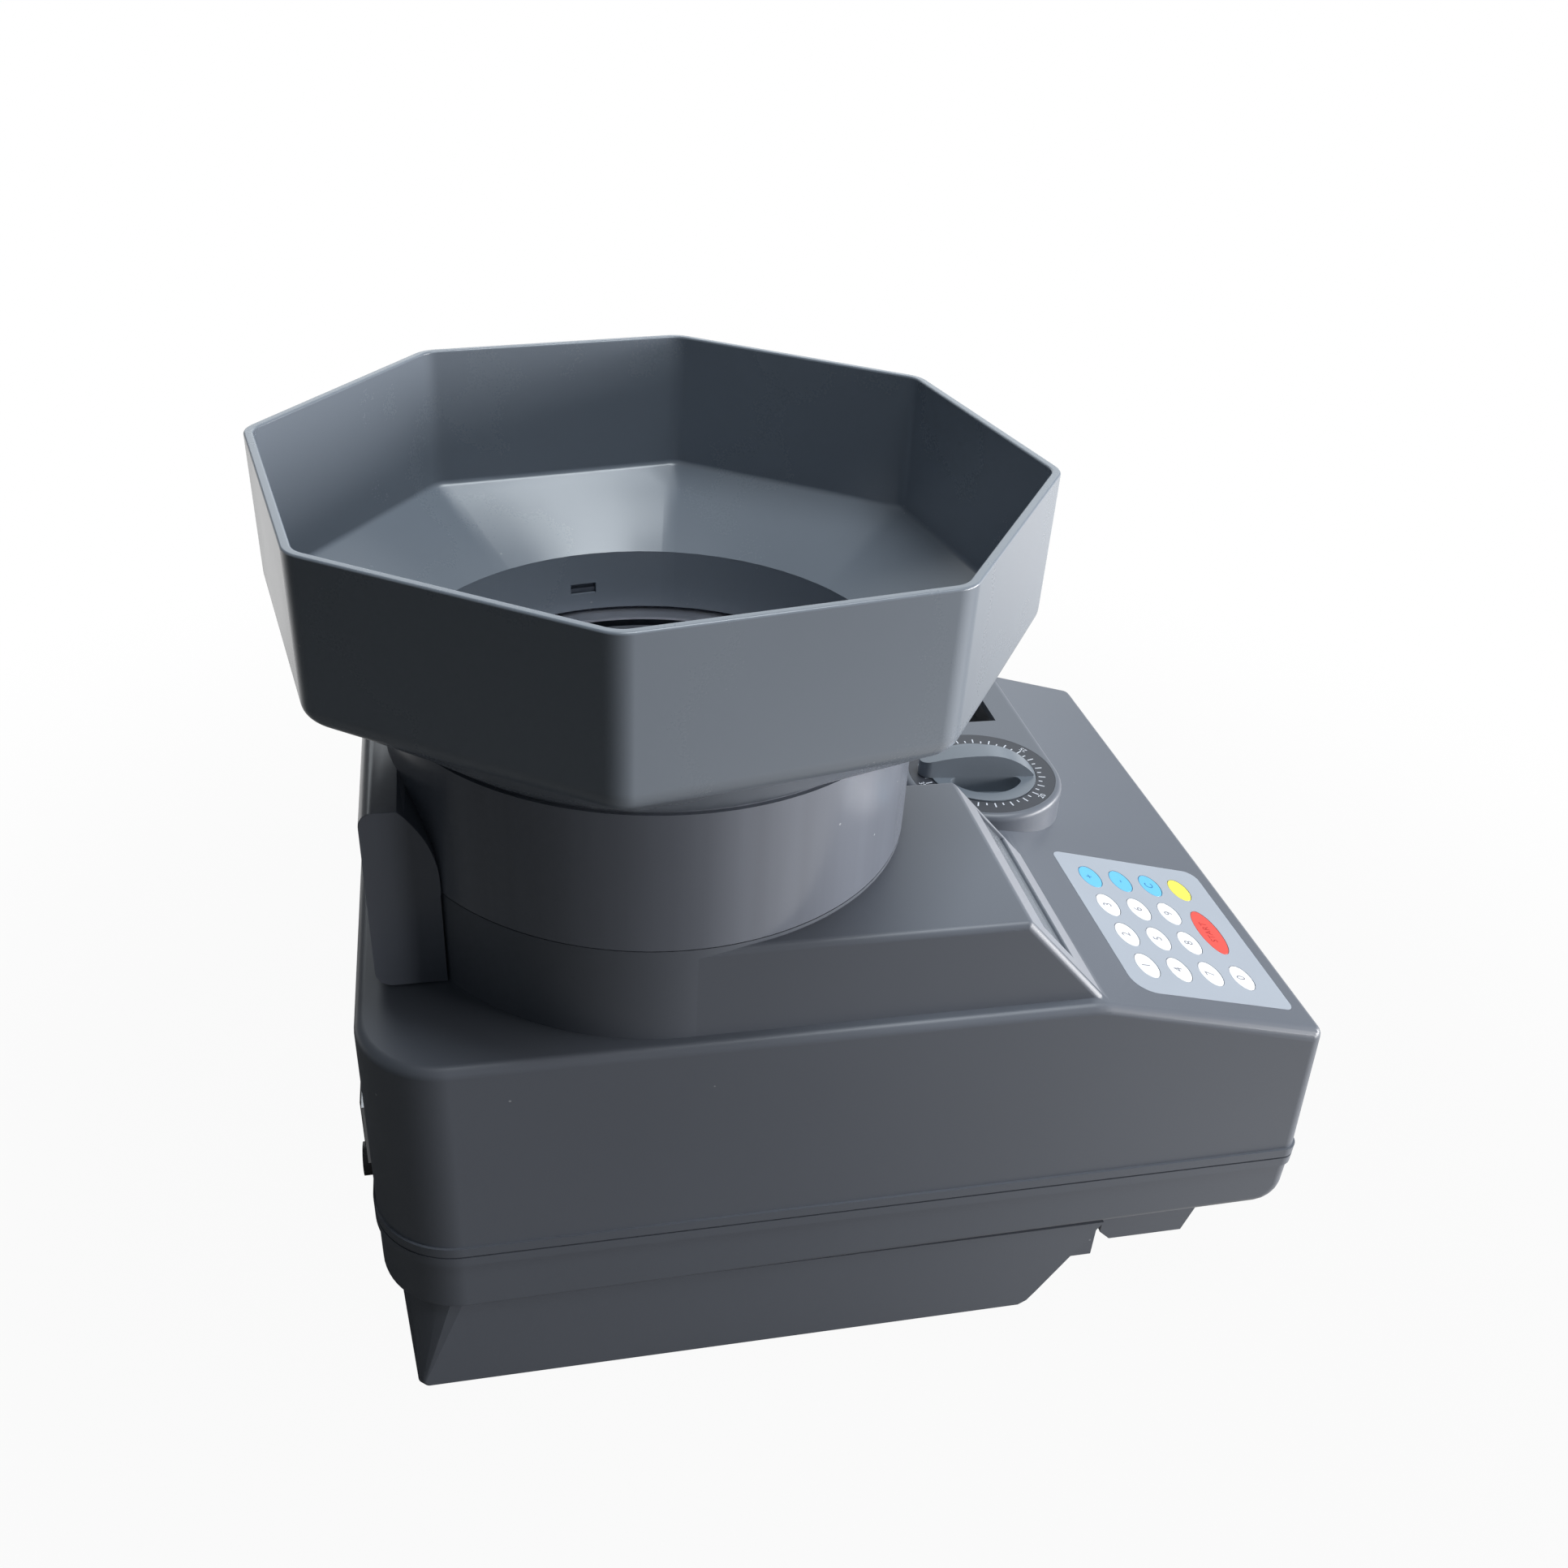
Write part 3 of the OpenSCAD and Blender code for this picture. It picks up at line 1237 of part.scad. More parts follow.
module switch_frame() {
  w = switch_w - 0.4;
  h = switch_h - 0.4;
  y = body_back + panel_t;
  color(dark_colour) place() difference() {
    rear_insert(switch_x, w, h, 16, 1);
    block([switch_x - w / 2 + switch_wall, y - 14, rear_mid_z - h / 2 + switch_wall], [switch_x + w / 2 - switch_wall, y + rim_t + cut, rear_mid_z + h / 2 - switch_wall]);
    translate([switch_x - w / 2 - cut, rocker_y, rear_mid_z]) rotate([0, 90, 0]) cylinder(r = rocker_axle_r + running_fit, h = w + 2 * cut, $fn = 48);
  }
}

module power_rocker() {
  half_w = switch_w / 2 - 0.2 - switch_wall - seat_gap;
  ends = arc([0, 0], rocker_r, 26, -35, 8);
  color([0.08, 0.08, 0.09]) place() translate([switch_x, rocker_y, rear_mid_z]) rotate([rocker_tilt, 0, 0]) {
    along_x(-half_w, half_w)
      polygon(concat([[2.75, 0]], [for (p = ends) [p[1], p[0]]], [for (i = [0:8]) [ends[8 - i][1], -ends[8 - i][0]]]));
    translate([-half_w - 1, 0, 0]) rotate([0, 90, 0]) cylinder(r = rocker_axle_r, h = 2 * half_w + 2, $fn = 48);
  }
}

module fuse_cap() {
  color(dark_colour) place() difference() {
    union() {
      rod_y(fuse_x, fuse_z, fuse_r - 1.6, body_back - 18, body_back);
      rod_y(fuse_x, fuse_z, fuse_r, body_back, body_back + 4);
    }
    block([fuse_x - 4, body_back + 3, fuse_z - 0.7], [fuse_x + 4, body_back + 5, fuse_z + 0.7]);
  }
}

module hinge_pin() {
  color(steel_colour) place() translate([-tail_half_w + 2, hinge_y, hinge_z]) rotate([0, 90, 0]) cylinder(r = pin_r, h = 2 * tail_half_w - 4);
}

// The hopper wall as rings of points: height, share of octagon, apothem, corner radius, circle radius
sector = [-22.5, -18, -13.5, -9, -5, -1.9, -1.1, -0.4, 0.4, 1.1, 1.9, 5, 9, 13.5, 18];
function octagon_r(a, rf, phi) =
  let(c0 = (a - rf) / cos(22.5), turn = atan2(rf * sin(22.5), c0 + rf * cos(22.5)))
  abs(phi) < turn ? c0 * cos(phi) + sqrt(rf * rf - pow(c0 * sin(phi), 2)) : a / cos(22.5 - abs(phi));
function ring_points(g) = [for (k = [0:7]) for (p = sector)
  let(r = g[1] * octagon_r(g[2], g[3], p) + (1 - g[1]) * g[4], t = hopper_turn + 45 * k + p) [r * cos(t), r * sin(t), g[0]]];
bend_len = hopper_bend_r * tan((90 - funnel_angle) / 2);
bend_share = 1 - bend_len * cos(funnel_angle) / (hopper_apothem - neck_r);
bend_low_z = bend_z - bend_len * sin(funnel_angle);
function bend(t) = [pow(1 - t, 2) * bend_low_z + 2 * t * (1 - t) * bend_z + t * t * (bend_z + bend_len),
  pow(1 - t, 2) * bend_share + 2 * t * (1 - t) + t * t];

module hopper() {
  a = hopper_apothem;
  in = a - hopper_wall;
  rf = hopper_corner_r;
  rings = concat(
    [[throat_z, 0, a, rf, spigot_r], [ring_top_z, 0, a, rf, spigot_r], [ring_top_z, 0, a, rf, neck_r]],
    [for (t = [0, 0.2, 0.4, 0.6, 0.8, 1]) [bend(t)[0], bend(t)[1], a, rf, neck_r]],
    [[rim_z - rim_chamfer, 1, a, rf, neck_r], [rim_z, 1, a - rim_chamfer, rf - rim_chamfer, neck_r],
      [rim_z, 1, in + rim_chamfer, rf - hopper_wall + rim_chamfer, throat_r], [rim_z - rim_chamfer, 1, in, rf - hopper_wall, throat_r],
      [bend_z + 0.3, 1, in, rf - hopper_wall, throat_r], [bend_z + 0.3 - floor_drop, 0, in, rf - hopper_wall, throat_r],
      [throat_z, 0, in, rf - hopper_wall, throat_r]]);
  n = 8 * len(sector);
  m = len(rings);
  color([0.46, 0.49, 0.53]) place() difference() {
    polyhedron([for (g = rings) each ring_points(g)],
      [for (i = [0:m - 1]) for (j = [0:n - 1]) [i * n + j, ((i + 1) % m) * n + j, ((i + 1) % m) * n + (j + 1) % n, i * n + (j + 1) % n]]);
    for (k = [0:3])
      rotate([0, 0, hook_angle + 90 * k]) translate([throat_r - 2, -hook_w / 2 - 0.2, hook_z - 0.2]) cube([8, hook_w + 0.4, slot_h]);
  }
}

// The side view of the hinge tail above a height z
function tail_profile(z) = concat([[tail_front_y, z], [tail_front_y, tail_curve_z]],
  arc([tail_front_y + tail_curve_r, tail_curve_z], tail_curve_r, 180, 180 - asin((tail_top_z - tail_curve_z) / tail_curve_r), 10),
  arc([tail_back_y - 5, tail_top_z - 5], 5, 90, 0, 6));

module feed_ring() {
  color([0.40, 0.44, 0.49]) place() {
    difference() {
      union() {
        translate([0, 0, ring_bottom_z]) cylinder(r = ring_r, h = ring_top_z - 0.8 - ring_bottom_z, $fn = fine_fn);
        translate([0, 0, ring_bottom_z]) cylinder(r = ring_bore_r + 1.5, h = ring_top_z - ring_bottom_z, $fn = fine_fn);
        along_x(-tail_half_w, tail_half_w) polygon(concat(tail_profile(tail_low_z), [[tail_back_y, tail_low_z]]));
        for (x = [-tail_half_w, barrel_half_w + 0.5])
          along_x(x, x + tail_half_w - barrel_half_w - 0.5)
            polygon(concat([[tail_front_y, tail_low_z + cut], [tail_back_y, tail_low_z + cut]], arc([hinge_y, hinge_z], knuckle_r, 0, -90, 8),
              [[tail_front_y, hinge_z - knuckle_r]]));
      }
      translate([0, 0, ring_bottom_z - cut]) cylinder(r = ring_bore_r, h = ring_top_z, $fn = fine_fn);
      translate([0, 0, deck_z - cut]) cylinder(r = ring_r + tail_gap, h = ring_bottom_z - deck_z + cut, $fn = fine_fn);
      intersection() {
        translate([0, 0, deck_z - cut]) cylinder(r = ring_r + tail_gap + 2.2, h = 8.5 + cut, $fn = fine_fn);
        block([-tail_half_w + 1.8, 0, deck_z - cut], [tail_half_w - 1.8, hinge_y, hinge_z + knuckle_r]);
      }
      translate([-tail_half_w + 1.7, hinge_y, hinge_z]) rotate([0, 90, 0]) cylinder(r = pin_r + running_fit, h = 2 * tail_half_w - 3.4);
    }
    for (k = [0:3])
      rotate([0, 0, hook_angle + 90 * k]) translate([ring_bore_r - 1.9, -hook_w / 2, hook_z]) cube([2.4, hook_w, hook_h]);
  }
}

module retaining_ring() {
  color(steel_colour) place() tube(ring_bore_r, disc_r + retaining_play, disc_z + retaining_gap, disc_z + retaining_gap + retaining_t);
}

base_housing();
rubber_feet();
lower_shell();
case_screws();
top_cover();
display_lens();
display_board();
keypad_overlay();
keypad_board();
dial_plate();
frame_posts();
mechanism_plate();
bearing_housing();
drive_belt();
motor_bracket();
drive_motor();
track_frame();
roller_belt();
roller_motor();
coin_sensor();
drop_chute();
coin_spout();
reject_slide();
reject_spout();
transformer();
control_board();
rear_plate();
power_inlet();
switch_frame();
fuse_cap();
hinge_pin();
hopper();
feed_ring();
retaining_ring();
feed_disc();
disc_shaft();
disc_pulley();
motor_pulley();
feed_roller();
exit_roller();
roller_drive_pulley();
dial_knob();
dial_pinion();
guide_rail();
power_rocker();
key_1();
key_2();
key_3();
key_4();
key_5();
key_6();
key_7();
key_8();
key_9();
key_0();
key_blue_back();
key_blue_middle();
key_blue_front();
key_red();
key_yellow();
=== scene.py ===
import json
import math

import bmesh
import bpy
from mathutils import Matrix, Vector


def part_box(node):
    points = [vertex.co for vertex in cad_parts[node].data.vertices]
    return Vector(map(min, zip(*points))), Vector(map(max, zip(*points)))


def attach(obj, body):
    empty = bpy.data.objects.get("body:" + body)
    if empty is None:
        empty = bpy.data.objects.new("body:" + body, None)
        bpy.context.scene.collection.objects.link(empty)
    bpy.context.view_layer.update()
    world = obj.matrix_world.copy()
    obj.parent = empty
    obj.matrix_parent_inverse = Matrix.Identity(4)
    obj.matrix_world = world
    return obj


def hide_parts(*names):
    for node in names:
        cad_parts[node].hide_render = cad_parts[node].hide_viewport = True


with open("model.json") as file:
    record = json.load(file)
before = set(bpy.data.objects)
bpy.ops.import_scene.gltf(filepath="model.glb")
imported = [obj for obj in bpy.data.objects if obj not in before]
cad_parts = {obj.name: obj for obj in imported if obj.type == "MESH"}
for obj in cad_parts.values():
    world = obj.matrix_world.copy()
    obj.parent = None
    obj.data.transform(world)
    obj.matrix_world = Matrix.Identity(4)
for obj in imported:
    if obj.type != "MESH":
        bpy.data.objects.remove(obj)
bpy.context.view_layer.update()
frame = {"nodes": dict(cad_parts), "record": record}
mm = 0.001
tau = 2 * math.pi


def tint(red, green, blue):  # a screen colour, 0 to 255, as a linear one
    def line(v):
        v = v / 255
        return v / 12.92 if v <= 0.04045 else ((v + 0.055) / 1.055) ** 2.4
    return (line(red), line(green), line(blue), 1.0)


# places that the pieces share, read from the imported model
discLow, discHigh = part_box("feed_disc")
hopperAxis = Vector(((discLow[0] + discHigh[0]) / 2, (discLow[1] + discHigh[1]) / 2, 0))
plateLow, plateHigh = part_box("dial_plate")
dialCentre = Vector(((plateLow[0] + plateHigh[0]) / 2, (plateLow[1] + plateHigh[1]) / 2, plateHigh[2]))


def fromAxis(x, y, z):  # millimetres from the hopper's axis, z from the floor
    return hopperAxis + Vector((x, y, z)) * mm


# camera
cameraSet = {"place": (-483.4, 67.9, 526.4), "bearing": -13.157, "pitch": -33.015, "roll": 3.429,
             "lens": 33.96, "shift": (0.01338, 0.01013)}


def makeCamera(spec):
    data = bpy.data.cameras.new("camera")
    data.lens = spec["lens"]
    data.sensor_width = 36
    data.shift_x, data.shift_y = spec["shift"]
    camera = bpy.data.objects.new("camera", data)
    bpy.context.collection.objects.link(camera)
    bearing, pitch = math.radians(spec["bearing"]), math.radians(spec["pitch"])
    level = math.cos(pitch)
    look = Vector((level * math.cos(bearing), level * math.sin(bearing), math.sin(pitch)))
    right = look.cross(Vector((0, 0, 1))).normalized()
    up = right.cross(look)
    roll = math.radians(spec["roll"])
    right, up = right * math.cos(roll) + up * math.sin(roll), up * math.cos(roll) - right * math.sin(roll)
    turn = Matrix((right, up, -look)).transposed().to_4x4()
    camera.matrix_world = Matrix.Translation(fromAxis(*spec["place"])) @ turn
    bpy.context.scene.camera = camera


makeCamera(cameraSet)
bpy.context.scene.view_settings.view_transform = "Standard"
print("camera set")


# material building: a wire is a socket that can be used in sums
class Wire:
    def __init__(self, board, socket):
        self.board, self.socket = board, socket

    def math(self, operation, first, second):
        return self.board.node("ShaderNodeMath", {"operation": operation}, {0: first, 1: second})

    def __add__(self, other):
        return self.math("ADD", self, other)

    def __radd__(self, other):
        return self.math("ADD", other, self)

    def __sub__(self, other):
        return self.math("SUBTRACT", self, other)

    def __rsub__(self, other):
        return self.math("SUBTRACT", other, self)

    def __mul__(self, other):
        return self.math("MULTIPLY", self, other)


class Board:  # the node tree of one material
    def __init__(self, name, metallic=0.0, coat=0.0, coatRoughness=0.1, specular=0.5):
        self.material = bpy.data.materials.new(name)
        self.material.use_nodes = True
        self.tree = self.material.node_tree
        self.tree.nodes.clear()
        self.shader = self.tree.nodes.new("ShaderNodeBsdfPrincipled")
        self.out = self.tree.nodes.new("ShaderNodeOutputMaterial")
        self.tree.links.new(self.shader.outputs[0], self.out.inputs[0])
        sockets = self.shader.inputs
        sockets["Metallic"].default_value = metallic
        sockets["Coat Weight"].default_value = coat
        sockets["Coat Roughness"].default_value = coatRoughness
        sockets["Specular IOR Level"].default_value = specular
        self.place = self.node("ShaderNodeTexCoord", {}, {}, "Object")

    def node(self, kind, settings, values, output=0):
        made = self.tree.nodes.new(kind)
        for key, value in settings.items():
            if key == "stops":
                ramp = made.color_ramp
                while len(ramp.elements) < len(value):
                    ramp.elements.new(0.5)
                for element, (position, colour) in zip(ramp.elements, value):
                    element.position, element.color = position, colour
            else:
                setattr(made, key, value)
        for key, value in values.items():
            if isinstance(value, Wire):
                self.tree.links.new(value.socket, made.inputs[key])
            else:
                made.inputs[key].default_value = value
        return Wire(self, made.outputs[output])

    def noise(self, size, detail=2.0, stretch=(1, 1, 1)):  # size of a lump in metres
        spot = self.node("ShaderNodeMapping", {}, {"Vector": self.place, "Scale": stretch})
        return self.node("ShaderNodeTexNoise", {}, {"Vector": spot, "Scale": 1 / size, "Detail": detail})

    def ramp(self, factor, stops):
        return self.node("ShaderNodeValToRGB", {"stops": stops}, {"Fac": factor})

    def blend(self, factor, first, second):
        return self.node("ShaderNodeMix", {"data_type": "RGBA"}, {0: factor, 6: first, 7: second}, 2)

    def bump(self, height, distance, strength):
        return self.node("ShaderNodeBump", {}, {"Height": height, "Distance": distance, "Strength": strength})

    def finish(self, colour, roughness, normal=None):
        for key, value in {"Base Color": colour, "Roughness": roughness, "Normal": normal}.items():
            if isinstance(value, Wire):
                self.tree.links.new(value.socket, self.shader.inputs[key])
            elif value is not None:
                self.shader.inputs[key].default_value = value
        return self.material


def shade(colour, factor):
    return (colour[0] * factor, colour[1] * factor, colour[2] * factor, 1)


dustSpec = {"apart": 16, "size": 0.03, "patch": 23, "share": 0.55, "colour": tint(190, 194, 198)}


def mouldedPlastic(name, colour, roughness=0.42, grain=0.35, streaks=0.0, coat=0.0, specks=0.0,
                   cast=0.05, film=None):
    board = Board(name, coat=coat, coatRoughness=0.25)
    cloud = board.noise(70 * mm, 3.0)
    grainLow = board.noise(0.9 * mm, 2.0)
    tone = board.blend(cloud, shade(colour, 1 - cast), shade(colour, 1 + cast))
    if streaks:  # long upright marks that the moulding tool leaves
        flow = board.noise(13 * mm, 2.0, (1, 1, 0.06))
        mask = board.ramp(flow, ((0.35, (0, 0, 0, 1)), (0.75, (1, 1, 1, 1))))
        tone = board.blend(mask, tone, shade(colour, 1 + streaks))
    if film:  # painted light: a paler tone where the attribute "film" is 1, standing in for the strong front light on the sloped face
        mark = board.node("ShaderNodeAttribute", {"attribute_name": "film"}, {}, "Fac")
        tone = board.blend(mark, tone, film)
    if specks:  # a few small pale specks of dust
        cells = {"Vector": board.place, "Scale": 1 / (dustSpec["apart"] * mm)}
        dust = board.node("ShaderNodeTexVoronoi", {"feature": "F1"}, cells, "Distance")
        rare = board.noise(dustSpec["patch"] * mm, 0.0)
        near = board.node("ShaderNodeMath", {"operation": "LESS_THAN"}, {0: dust, 1: dustSpec["size"]})
        few = board.node("ShaderNodeMath", {"operation": "GREATER_THAN"}, {0: rare, 1: dustSpec["share"]})
        tone = board.blend(near * few * specks, tone, dustSpec["colour"])
    gloss = roughness + (cloud - 0.5) * 0.10 + (grainLow - 0.5) * (0.3 * grain)
    relief = board.bump(grainLow, grain * 0.04 * mm, 0.6)
    return board.finish(tone, gloss, relief)


def rubberFinish(name, colour):
    board = Board(name, specular=0.3)
    fine = board.noise(0.7 * mm, 3.0)
    tone = board.blend(board.noise(25 * mm), shade(colour, 0.85), shade(colour, 1.15))
    return board.finish(tone, 0.72 + (fine - 0.5) * 0.2, board.bump(fine, 0.05 * mm, 0.6))


def metalFinish(name, colour, roughness=0.32, stretch=(1, 1, 1), size=2.0, relief=0.02):
    board = Board(name, metallic=1.0)
    lines = board.noise(size * mm, 3.0, stretch)
    tone = board.blend(lines, shade(colour, 0.88), shade(colour, 1.08))
    gloss = roughness + (lines - 0.5) * 0.22 + (board.noise(30 * mm) - 0.5) * 0.1
    return board.finish(tone, gloss, board.bump(lines, relief * mm, 0.5))


def turnedFinish(name, colour, centre):  # fine rings round an upright axis, as a lathe leaves them
    board = Board(name, metallic=1.0)
    spot = board.node("ShaderNodeVectorMath", {"operation": "SUBTRACT"}, {0: board.place, 1: centre})
    flat = board.node("ShaderNodeVectorMath", {"operation": "MULTIPLY"}, {0: spot, 1: (1, 1, 0)})
    reach = board.node("ShaderNodeVectorMath", {"operation": "LENGTH"}, {0: flat}, "Value")
    rings = board.node("ShaderNodeTexNoise", {"noise_dimensions": "1D"},
                       {"W": reach, "Scale": 1 / (0.8 * mm), "Detail": 2.0})
    wear = board.noise(18 * mm, 3.0)
    tone = board.blend(rings, shade(colour, 0.86), shade(colour, 1.08))
    gloss = 0.34 + (rings - 0.5) * 0.16 + (wear - 0.5) * 0.16
    return board.finish(tone, gloss, board.bump(rings, 0.03 * mm, 0.5))


def paintFinish(name, colour, roughness=0.38):
    board = Board(name)
    orange = board.noise(1.6 * mm, 2.0)
    tone = board.blend(board.noise(40 * mm), shade(colour, 0.9), shade(colour, 1.1))
    return board.finish(tone, roughness + (orange - 0.5) * 0.08, board.bump(orange, 0.03 * mm, 0.5))


def printedFilm(name, colour, roughness=0.45):
    board = Board(name)
    weave = board.noise(0.5 * mm, 2.0)
    tone = board.blend(board.noise(30 * mm), shade(colour, 0.96), shade(colour, 1.04))
    return board.finish(tone, roughness + (weave - 0.5) * 0.08, board.bump(weave, 0.012 * mm, 0.6))


def keyFinish(name, colour, ink):  # a key of printed film: the attribute "ink" marks its numeral
    board = Board(name, coat=0.15)
    soft = board.noise(6 * mm, 2.0)
    mark = board.node("ShaderNodeAttribute", {"attribute_name": "ink"}, {}, "Fac")
    tone = board.blend(mark, board.blend(soft, shade(colour, 0.97), colour), ink)
    fine = board.noise(0.4 * mm)
    return board.finish(tone, 0.42 + (fine - 0.5) * 0.1, board.bump(fine, 0.01 * mm, 0.5))


def lensFinish(name):
    board = Board(name, coat=0.8, coatRoughness=0.03, specular=0.6)
    drift = board.noise(50 * mm, 1.0)
    tone = board.blend(drift, tint(134, 140, 146), tint(150, 156, 162))
    return board.finish(tone, 0.12 + (board.noise(9 * mm) - 0.5) * 0.05)


def boardFinish(name):
    board = Board(name, coat=0.3)
    tracks = board.node("ShaderNodeTexBrick", {}, {
        "Vector": board.place, "Scale": 1 / (7 * mm), "Mortar Size": 0.04,
        "Color1": tint(24, 82, 46), "Color2": tint(28, 90, 52), "Mortar": tint(52, 128, 80)})
    fine = board.noise(2 * mm)
    return board.finish(tracks, 0.36 + (fine - 0.5) * 0.1, board.bump(fine, 0.02 * mm, 0.4))


finishes = {
    # the film tone paints the housing's sloped face round the display paler, standing in for the front light
    # that falls on it
    "housing": mouldedPlastic("housing plastic", tint(101, 106, 115), 0.40, 0.12, specks=0.5, cast=0.04,
                              film=tint(138, 141, 148)),
    "hopper": mouldedPlastic("hopper plastic", tint(124, 132, 142), 0.27, 0.05, coat=0.2, specks=0.35,
                             cast=0.03),
    "ring": mouldedPlastic("ring plastic", tint(110, 115, 125), 0.24, 0.05, streaks=0.16, coat=0.15,
                           specks=0.6),
    "overlay": printedFilm("overlay film", tint(164, 171, 181)),
    "lens": lensFinish("display lens"),
    "scale": printedFilm("scale film", tint(56, 59, 67), 0.5),
    "knob": mouldedPlastic("knob plastic", tint(114, 122, 131), 0.32, 0.05),
    "key_white": keyFinish("white key", tint(240, 241, 244), tint(128, 130, 140)),
    "key_blue": keyFinish("blue key", tint(104, 190, 234), tint(44, 118, 168)),
    "key_yellow": keyFinish("yellow key", tint(248, 234, 92), tint(200, 176, 50)),
    "key_red": keyFinish("red key", tint(238, 84, 74), tint(172, 40, 36)),
    "black_plastic": mouldedPlastic("black plastic", tint(30, 31, 34), 0.45, 0.3),
    "black_gloss": mouldedPlastic("rocker plastic", tint(24, 24, 26), 0.22, 0.05),
    "foot_rubber": rubberFinish("foot rubber", tint(38, 38, 40)),
    "roller_rubber": rubberFinish("roller rubber", tint(62, 62, 64)),
    "belt_rubber": rubberFinish("belt rubber", tint(34, 34, 36)),
    "steel": metalFinish("bright steel", tint(196, 198, 202), 0.28),
    "track_steel": metalFinish("track steel", tint(188, 190, 194), 0.34, (0.08, 1, 1), 1.2),
    "plate_steel": metalFinish("plate steel", tint(205, 207, 210), 0.36, (0.05, 1, 1), 0.8),
    "disc": turnedFinish("disc alloy", tint(176, 178, 184), tuple(hopperAxis)),
    "cast_alloy": metalFinish("cast alloy", tint(170, 172, 176), 0.5, (1, 1, 1), 1.5, 0.06),
    "brass_gear": metalFinish("gear brass", tint(206, 172, 104), 0.3),
    "motor_paint": paintFinish("motor paint", tint(52, 54, 58)),
    "core_paint": paintFinish("core varnish", tint(112, 98, 84), 0.3),
    "circuit_board": boardFinish("circuit board"),
}
scaleInk = printedFilm("scale ink", tint(222, 226, 234), 0.5)
slotOf = {item["node"]: item["material_slot"] for item in frame["record"]["subparts"]}
finishOf = {nodeName: finishes[slot] for nodeName, slot in slotOf.items()}
finishOf["retaining_ring"] = turnedFinish("turned ring steel", tint(222, 222, 228), tuple(hopperAxis))
for nodeName, node in frame["nodes"].items():
    for index in range(max(1, len(node.material_slots))):
        if not node.material_slots:
            node.data.materials.append(finishOf[nodeName])
        else:
            node.material_slots[index].material = finishOf[nodeName]
print("materials made:", len(finishes))


# pieces
bodyOf = {}
for bodyName, nodeNames in frame["record"]["behaviour"]["bodies"].items():
    for nodeName in nodeNames:
        bodyOf[nodeName] = bodyName


def newPiece(name, mesh, slot, body, finish=None):
    piece = bpy.data.objects.new(name, mesh)
    bpy.context.collection.objects.link(piece)
    mesh.materials.clear()
    mesh.materials.append(finish or finishes[slot])
    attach(piece, body)
    return piece


def smoothFaces(mesh, angle):
    for face in mesh.polygons:
        face.use_smooth = True
    mesh.set_sharp_from_angle(angle=math.radians(angle))


def applied(piece):  # the piece's mesh with its modifiers worked in
    graph = bpy.context.evaluated_depsgraph_get()
    mesh = bpy.data.meshes.new_from_object(piece.evaluated_get(graph))
    piece.modifiers.clear()
    old = piece.data
    piece.data = mesh
    bpy.data.meshes.remove(old)
    return mesh


def flattened(piece, angle):  # smooth over its rounded parts, true over its flat ones
    smoothFaces(piece.data, angle)
    weights = piece.modifiers.new("flats", "WEIGHTED_NORMAL")
    weights.keep_sharp = True
    weights.weight = 100
    return applied(piece)


def roundNormals(mesh, posts):  # exact normals on upright round walls, each (x, y, radius) in metres
    normals = [corner.vector.copy() for corner in mesh.corner_normals]
    spots = [vertex.co for vertex in mesh.vertices]
    for face in mesh.polygons:
        if abs(face.normal.z) > 0.05:
            continue
        for x, y, radius in posts:
            ways = [Vector((spots[i].x - x, spots[i].y - y, 0)) for i in face.vertices]
            if all(abs(way.length - radius) < 0.06 * mm for way in ways):
                middle = sum(ways, Vector()).normalized()
                side = 1 if middle.dot(face.normal) > 0 else -1
                if abs(middle.dot(face.normal)) > 0.985:
                    for loop, way in zip(face.loop_indices, ways):
                        normals[loop] = way.normalized() * side
                    break
    mesh.normals_split_custom_set(normals)


def mergedCopy(nodeName, angle=26.0, edge=0.0, pick=None, posts=()):
    # the node's own solid, merged, with its picked or sharp edges taken off by edge millimetres
    work = bmesh.new()
    work.from_mesh(frame["nodes"][nodeName].data)
    bmesh.ops.remove_doubles(work, verts=work.verts, dist=0.002 * mm)
    bmesh.ops.dissolve_degenerate(work, edges=work.edges, dist=0.001 * mm)
    bmesh.ops.dissolve_limit(work, angle_limit=math.radians(0.4), verts=work.verts, edges=work.edges)
    if pick:
        weight = work.edges.layers.float.new("bevel_weight_edge")
        for line in work.edges:
            if len(line.link_faces) == 2 and line.calc_face_angle(0) > math.radians(30) and pick(line):
                line[weight] = 1.0
    mesh = bpy.data.meshes.new(nodeName + "_shell")
    work.to_mesh(mesh)
    work.free()
    piece = newPiece(nodeName + "_shell", mesh, slotOf[nodeName], bodyOf[nodeName])
    if edge:
        bevel = piece.modifiers.new("edge", "BEVEL")
        bevel.width = edge * mm
        bevel.segments = 3
        bevel.limit_method = "WEIGHT" if pick else "ANGLE"
        bevel.angle_limit = math.radians(40)
        bevel.use_clamp_overlap = True
        applied(piece)
    flattened(piece, angle)
    if posts:
        walls = [(hopperAxis.x + x * mm, hopperAxis.y + y * mm, r * mm) for x, y, r in posts]
        roundNormals(piece.data, walls)
    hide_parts(nodeName)
    return piece


tailSpec = {"half": 57, "from": 81, "above": 186}


def tailEdge(line):  # the side and back edges of the ring's hinge tail
    spec = tailSpec
    ends = [vertex.co - hopperAxis for vertex in line.verts]
    outside = all(abs(abs(p.x) - spec["half"] * mm) < 0.05 * mm and p.y > spec["from"] * mm
                  and p.z > spec["above"] * mm for p in ends)
    return outside and any(abs(face.normal.x) > 0.99 for face in line.link_faces)


windowSpec = {"left": -86.5, "wide": 78.5, "down": 15.5, "tall": 20.5,
              "faceTop": (-123, 209), "faceFoot": (-156.5, 171.5), "slack": 0.1}


